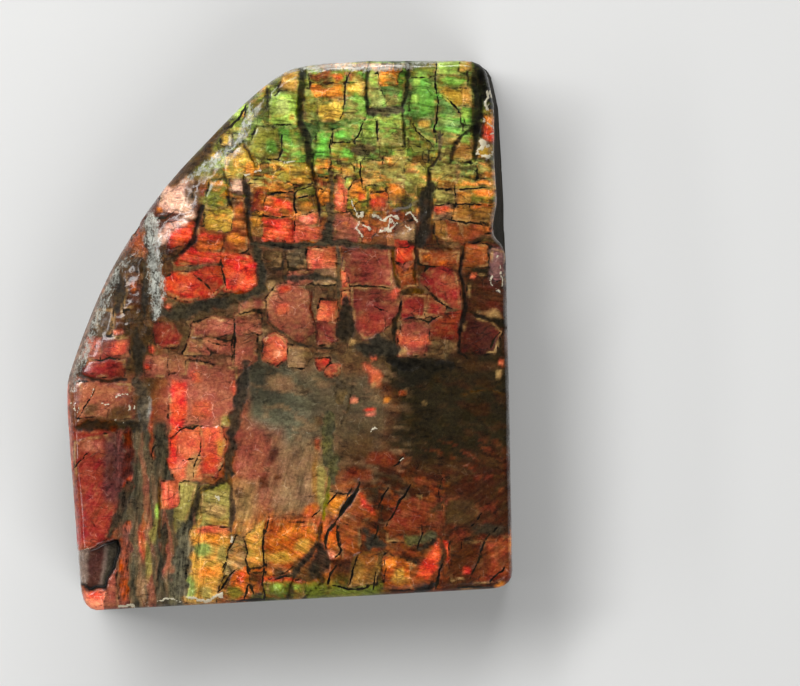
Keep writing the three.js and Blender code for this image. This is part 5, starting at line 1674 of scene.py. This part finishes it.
class PolishedShell(Finish):
    """Polished iridescent shell over shale: the shell's glow, its crazing, veins, pale lips with painted
    glints, painted glare bands and scratches that also stand for painted sparkle.
    """

    def __init__(self):
        super().__init__("polished_shell")
        self.glow = self.attribute("Glow", "Color")
        self.growth = self.attribute("Growth")
        self.worn = self.attribute("Rough")
        self.cloudy = self.noise(self.place, 2.4)
        self.cloud = self.noise(self.place, 2.6, 4, 0.6)
        self.speckle = self.noise(self.place, 0.45, 5, 0.7)
        self.ragged = self.noise(self.place, 0.5, 4, 0.65)
        self.fine = self.noise(self.place, 0.22, 3, 0.6)
        self.bent = self.pushed(1.8, 0.55, 0.9)
        streaks = self.noise(self.stretched(self.place, 0.6, 1.5, 1), 0.8, 6, 0.72, 0.7)
        self.tone = self.plus(self.times(self.cloudy, 0.45), self.times(streaks, 0.55))
        grain = self.stretched(self.attribute("Grain", "Vector"), 0.14 * MM, MM, MM)
        self.lines = self.noise(grain, 0.45, 4, 0.7)
        self.pale_line = self.times(self.span(self.lines, 0.52, 0.6), self.growth)
        self.dark_line = self.times(self.span(self.lines, 0.47, 0.38), self.growth)
        self.craze = self.crazing()
        self.seam = self.seams_and_cracks()
        self.set_surface(Base_Color=self.painted())
        self.set_gloss()
        self.set_surface(Normal=self.fine_relief())

    def painted(self):
        """The shell, and over it the veins, the seams, the painted glare bands and the lips with their
        painted glints.
        """
        shell = self.scratched_with_sparkle(self.lined(self.broken(self.layered())))
        colour = self.mix(self.vein_share(), shell, self.stone())
        colour = self.mix(self.seam, colour, self.mix(self.span(self.cloud, 0.4, 0.6), "peat", "black"))
        # glint: the colour of the painted glare bands
        glint = self.shift("glare_silver", 0.5, 1, self.span(self.tone, 0.36, 0.64, 0.45, 1.4))
        colour = self.mix(self.times(self.glint_share(), 0.85), colour, glint)
        # cream lips: pale shell, partly painted glints
        return self.mix(self.times(self.lip_and_glint_share(), 0.85), colour, "cream")

    def layered(self):
        """The shell's layers shift in hue and brightness over fractions of a millimetre."""
        grit = self.noise(self.place, 0.3, 4, 0.75)
        hue = self.span(self.noise(self.place, 1.2, 3, 0.6), 0.34, 0.66, 0.496, 0.51)
        rich = self.shift(self.glow, hue, 1, self.swing(grit, 0.8, 1.45))
        shell = self.mix(self.span(self.tone, 0.5, 0.66), rich, self.shift(rich, 0.502, 0.96, 1.45))
        return self.mix(self.span(self.tone, 0.48, 0.36), shell, self.shift(rich, 0.5, 1, 0.38))

    def broken(self, shell):
        """Between the drawn tiles it is broken into small square blocks of their own shades."""
        shade, edge = self.square_cells(self.bent, 1.55)
        blocks = self.attribute("Blocks")
        hue = self.span(shade["Red"], 0, 1, 0.494, 0.507)
        strength = self.span(shade["Green"], 0, 1, 0.95, 1)
        light = self.span(shade["Blue"], 0, 1, 0.6, 1.5)
        shell = self.mix(blocks, shell, self.shift(shell, hue, strength, light))
        gap = self.span(self.plus(edge, self.swing(self.cloudy, -0.02, 0.08)), 0, 0.09, 1, 0)
        return self.mix(self.times(gap, self.times(blocks, 0.85)), shell, "pitch")

    def lined(self, shell):
        """Pale and dark growth lines."""
        shell = self.mix(self.times(self.pale_line, 0.65), shell, self.shift(shell, 0.498, 0.97, 1.75))
        return self.mix(self.times(self.dark_line, 0.8), shell, self.shift(shell, 0.506, 1, 0.33))

    def crazing(self):
        """Where the polished layer has fine cracks."""
        craze = self.cell_lines(self.stretched(self.bent, 0.42, 1.25, 0), 1.3, 0.045)
        patchy = self.span(self.noise(self.place, 1.7, 3), 0.46, 0.6)
        return self.times(craze, self.times(patchy, self.attribute("Craze")))

    def scratched_with_sparkle(self, shell):
        """The fine cracks, and pale scratch lines over them, which also stand for painted sparkle, small
        highlights scattered over the shell.
        """
        shell = self.mix(self.times(self.craze, 0.65), shell, "ink")
        scratches_and_sparkle = self.cell_lines(self.pushed(1.1, 0.6, 0.7), 1.6, 0.035)
        scratches_and_sparkle = self.times(scratches_and_sparkle, self.span(self.noise(self.place, 0.9, 3), 0.51, 0.6))
        return self.mix(self.times(scratches_and_sparkle, 0.5), shell, self.shift(shell, 0.51, 0.8, 2))

    def stone(self):
        """Shale and calcite, speckled, with the growth lines pressed into them."""
        striped = self.plus(self.times(self.pale_line, 0.9), self.times(self.dark_line, -0.5))
        light = self.times(self.swing(self.speckle, 0.35, 1.5), self.swing(self.cloud, 0.6, 1.3))
        return self.shift(self.glow, 0.5, self.swing(self.cloud, 0.85, 1.2), self.plus(light, striped))

    def vein_share(self):
        """The veins, with ragged edges."""
        ragged = self.plus(self.attribute("Matrix"), self.swing(self.ragged, -0.25, 0.25))
        return self.span(ragged, 0.3, 0.7)

    def seams_and_cracks(self):
        """Ragged dark seams that fade in places, and the open cracks."""
        fading = self.span(self.noise(self.place, 1.9, 3, 0.6), 0.36, 0.62, -0.42, 0.16)
        seam = self.plus(self.attribute("Seam"), self.plus(fading, self.swing(self.ragged, -0.22, 0.22)))
        crack = self.plus(self.attribute("Crack"), self.swing(self.ragged, -0.16, 0.16))
        return self.math("MAXIMUM", self.span(seam, 0.3, 0.85), self.span(crack, 0.84, 1.02))

    def lip_and_glint_share(self):
        """The pale lips with their painted glints, crumbled along their edges."""
        crumbled = self.plus(self.attribute("LipAndGlint"), self.swing(self.fine, -0.42, 0.15))
        return self.span(crumbled, 0.38, 0.58)

    def glint_share(self):
        """The painted glare bands, torn into slivers."""
        slivers = self.noise(self.stretched(self.place, 1.4, 0.6, 1), 0.5, 5, 0.75, 0.8)
        slivers = self.plus(self.span(slivers, 0.36, 0.64, -0.55, 0.1), self.swing(self.fine, -0.25, 0.12))
        return self.span(self.plus(self.attribute("PaintedGlare"), slivers), 0.3, 1.1)

    def set_gloss(self):
        """Polished on the tiles, and dull in the cracks and on the crumpled patches."""
        dull = self.math("MAXIMUM", self.seam, self.attribute("Dull"))
        patches = self.span(self.noise(self.place, 1.4, 4, 0.65), 0.38, 0.58, 0.3, 1)
        polish = self.times(self.span(dull, 0.1, 0.8, 1, 0.05), patches)
        self.set_surface(
            Roughness=self.plus(self.span(dull, 0, 1, 0.24, 0.4), self.swing(self.speckle, -0.05, 0.08)),
            Coat_Weight=self.times(polish, self.span(self.worn, 0, 1, 1, 0.6)),
            Coat_Roughness=0.15,
            Coat_IOR=1.5,
            IOR=1.42,
            Specular_IOR_Level=0.15,
        )

    def fine_relief(self):
        """Growth lines, crazing and creases too fine for the mesh."""
        height = self.plus(self.times(self.lines, self.times(self.growth, 0.5)),
                           self.times(self.noise(self.place, 0.6), 0.5))
        height = self.math("SUBTRACT", height, self.times(self.craze, 0.5))
        creases = self.noise(self.place, 0.5, 4, 0.6, 0.6)
        return self.bump(creases, self.times(self.worn, 0.8), 0.22, self.bump(height, 0.35, 0.1))


def bedded_shale():
    """Dark, dull shale in thin beds, with the shell's brown edge along the top."""
    finish = Finish("bedded_shale")
    place = finish.place
    beds = finish.noise(finish.stretched(place, 0.25, 0.25, 3), 0.9, 4, 0.6)
    thin_beds = finish.noise(finish.stretched(place, 0.08, 0.08, 2.6), 1.1, 4, 0.7)
    speckle = finish.noise(place, 0.45, 5, 0.7)
    colour = finish.mix(finish.span(beds, 0.38, 0.62), "pitch", "moor")
    colour = finish.mix(finish.span(thin_beds, 0.56, 0.66, 0, 0.7), colour, "taupe")
    colour = finish.mix(finish.span(thin_beds, 0.42, 0.34, 0, 0.8), colour, "ink")
    colour = finish.mix(finish.span(speckle, 0.58, 0.72, 0, 0.6), colour, "slate")
    layers = finish.noise(finish.stretched(place, 0.1, 0.1, 6), 0.9, 3)
    edge = finish.mix(finish.span(layers, 0.4, 0.6), "peat", "umber")
    edge = finish.mix(finish.span(layers, 0.62, 0.7), edge, "russet")
    below = finish.plus(finish.attribute("Below"), finish.swing(speckle, -0.2, 0.2))
    colour = finish.mix(finish.span(below, SHELL - 0.2, SHELL, 1, 0), colour, edge)
    normal = finish.bump(finish.plus(thin_beds, speckle), 0.8, 0.25)
    finish.set_surface(Base_Color=colour, Roughness=0.8, Specular_IOR_Level=0.15, Normal=normal)
    return finish.material


# ---------------------------------------------------------------------------------------------
# Stage: camera, lights and floor
# ---------------------------------------------------------------------------------------------
VIEW_WIDTH = 81.1  # millimetres across the view at the slab's rim
CAMERA_AIM_X, CAMERA_AIM_Y = 11.18, -0.76
CAMERA_DISTANCE = 400  # above the rim
RIM_LEVEL = 9.5
FLOOR_LEVEL = -0.02  # just under the slab, so that the two don't share a surface
FLOOR_COLOUR = (0.75, 0.75, 0.74, 1)


def add_camera():
    """A long lens straight above the slab, which looks down on it."""
    camera = bpy.data.cameras.new("camera")
    camera.lens = camera.sensor_width * CAMERA_DISTANCE / VIEW_WIDTH
    camera.clip_start = 0.01
    holder = bpy.data.objects.new("camera", camera)
    camera_level = RIM_LEVEL + CAMERA_DISTANCE
    holder.location = (CAMERA_AIM_X * MM, CAMERA_AIM_Y * MM, camera_level * MM)
    bpy.context.scene.collection.objects.link(holder)
    bpy.context.scene.camera = holder


def add_light(name, azimuth, elevation, distance, size, power):
    """A soft panel that faces the slab, in metres and watts; azimuth is anticlockwise from +X."""
    lamp = bpy.data.lights.new(name, "AREA")
    lamp.shape = "RECTANGLE"
    lamp.size, lamp.size_y = size
    lamp.energy = power
    turn, rise = math.radians(azimuth), math.radians(elevation)
    holder = bpy.data.objects.new(name, lamp)
    outwards, upwards = distance * math.cos(rise), distance * math.sin(rise)
    holder.location = (outwards * math.cos(turn), outwards * math.sin(turn), upwards)
    holder.rotation_euler = (math.radians(90 - elevation), 0, turn + math.radians(90))
    bpy.context.scene.collection.objects.link(holder)


def add_floor():
    """A pale floor just under the slab."""
    bpy.ops.object.select_all(action="DESELECT")
    bpy.ops.mesh.primitive_plane_add(size=3, location=(0, 0, FLOOR_LEVEL * MM))
    floor = bpy.context.active_object
    floor.name = "floor"
    finish = Finish("pale_floor")
    finish.set_surface(Base_Color=FLOOR_COLOUR, Roughness=0.8)
    floor.data.materials.append(finish.material)


def add_world():
    """A faint white surround."""
    world = bpy.data.worlds.new("studio")
    world.use_nodes = True
    backdrop = world.node_tree.nodes["Background"]
    backdrop.inputs["Color"].default_value = (1, 1, 1, 1)
    backdrop.inputs["Strength"].default_value = 0.08
    bpy.context.scene.world = world


def set_stage():
    """A pale studio seen from above, with four soft panels of light."""
    bpy.context.scene.view_settings.view_transform = "Standard"
    add_camera()
    add_world()
    add_floor()
    add_light("window_panel", 140, 46, 0.6, (0.5, 0.1), 2.6)
    add_light("far_panel", 88, 26, 0.7, (0.5, 0.14), 2.3)
    add_light("left_panel", 178, 28, 0.6, (0.4, 0.05), 0.5)
    add_light("near_panel", -60, 38, 0.8, (0.55, 0.5), 2.9)


# ---------------------------------------------------------------------------------------------
# The slab, in its place in the frame
# ---------------------------------------------------------------------------------------------
def model_slab():
    """One mesh: the blank, its walls and back, its two finishes, its real form and its marks."""
    slab = sawn_blank()
    refine_seams(slab)
    add_walls_and_back(slab)
    slab.data.materials.append(PolishedShell().material)
    slab.data.materials.append(bedded_shale())
    lower = face_middles(slab.data)[:, 2] < (THICKNESS - 0.01) * MM
    slab.data.polygons.foreach_set("material_index", lower.astype(np.int32))
    face, below = shape_slab(slab)
    store_marks(slab, face, below)
    unfold(slab, lower)
    bpy.ops.object.select_all(action="DESELECT")
    slab.select_set(True)
    bpy.context.view_layer.objects.active = slab
    bpy.ops.object.shade_smooth()
    return slab


set_stage()
slab = model_slab()
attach(slab, "root")
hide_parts("ammolite_slab")
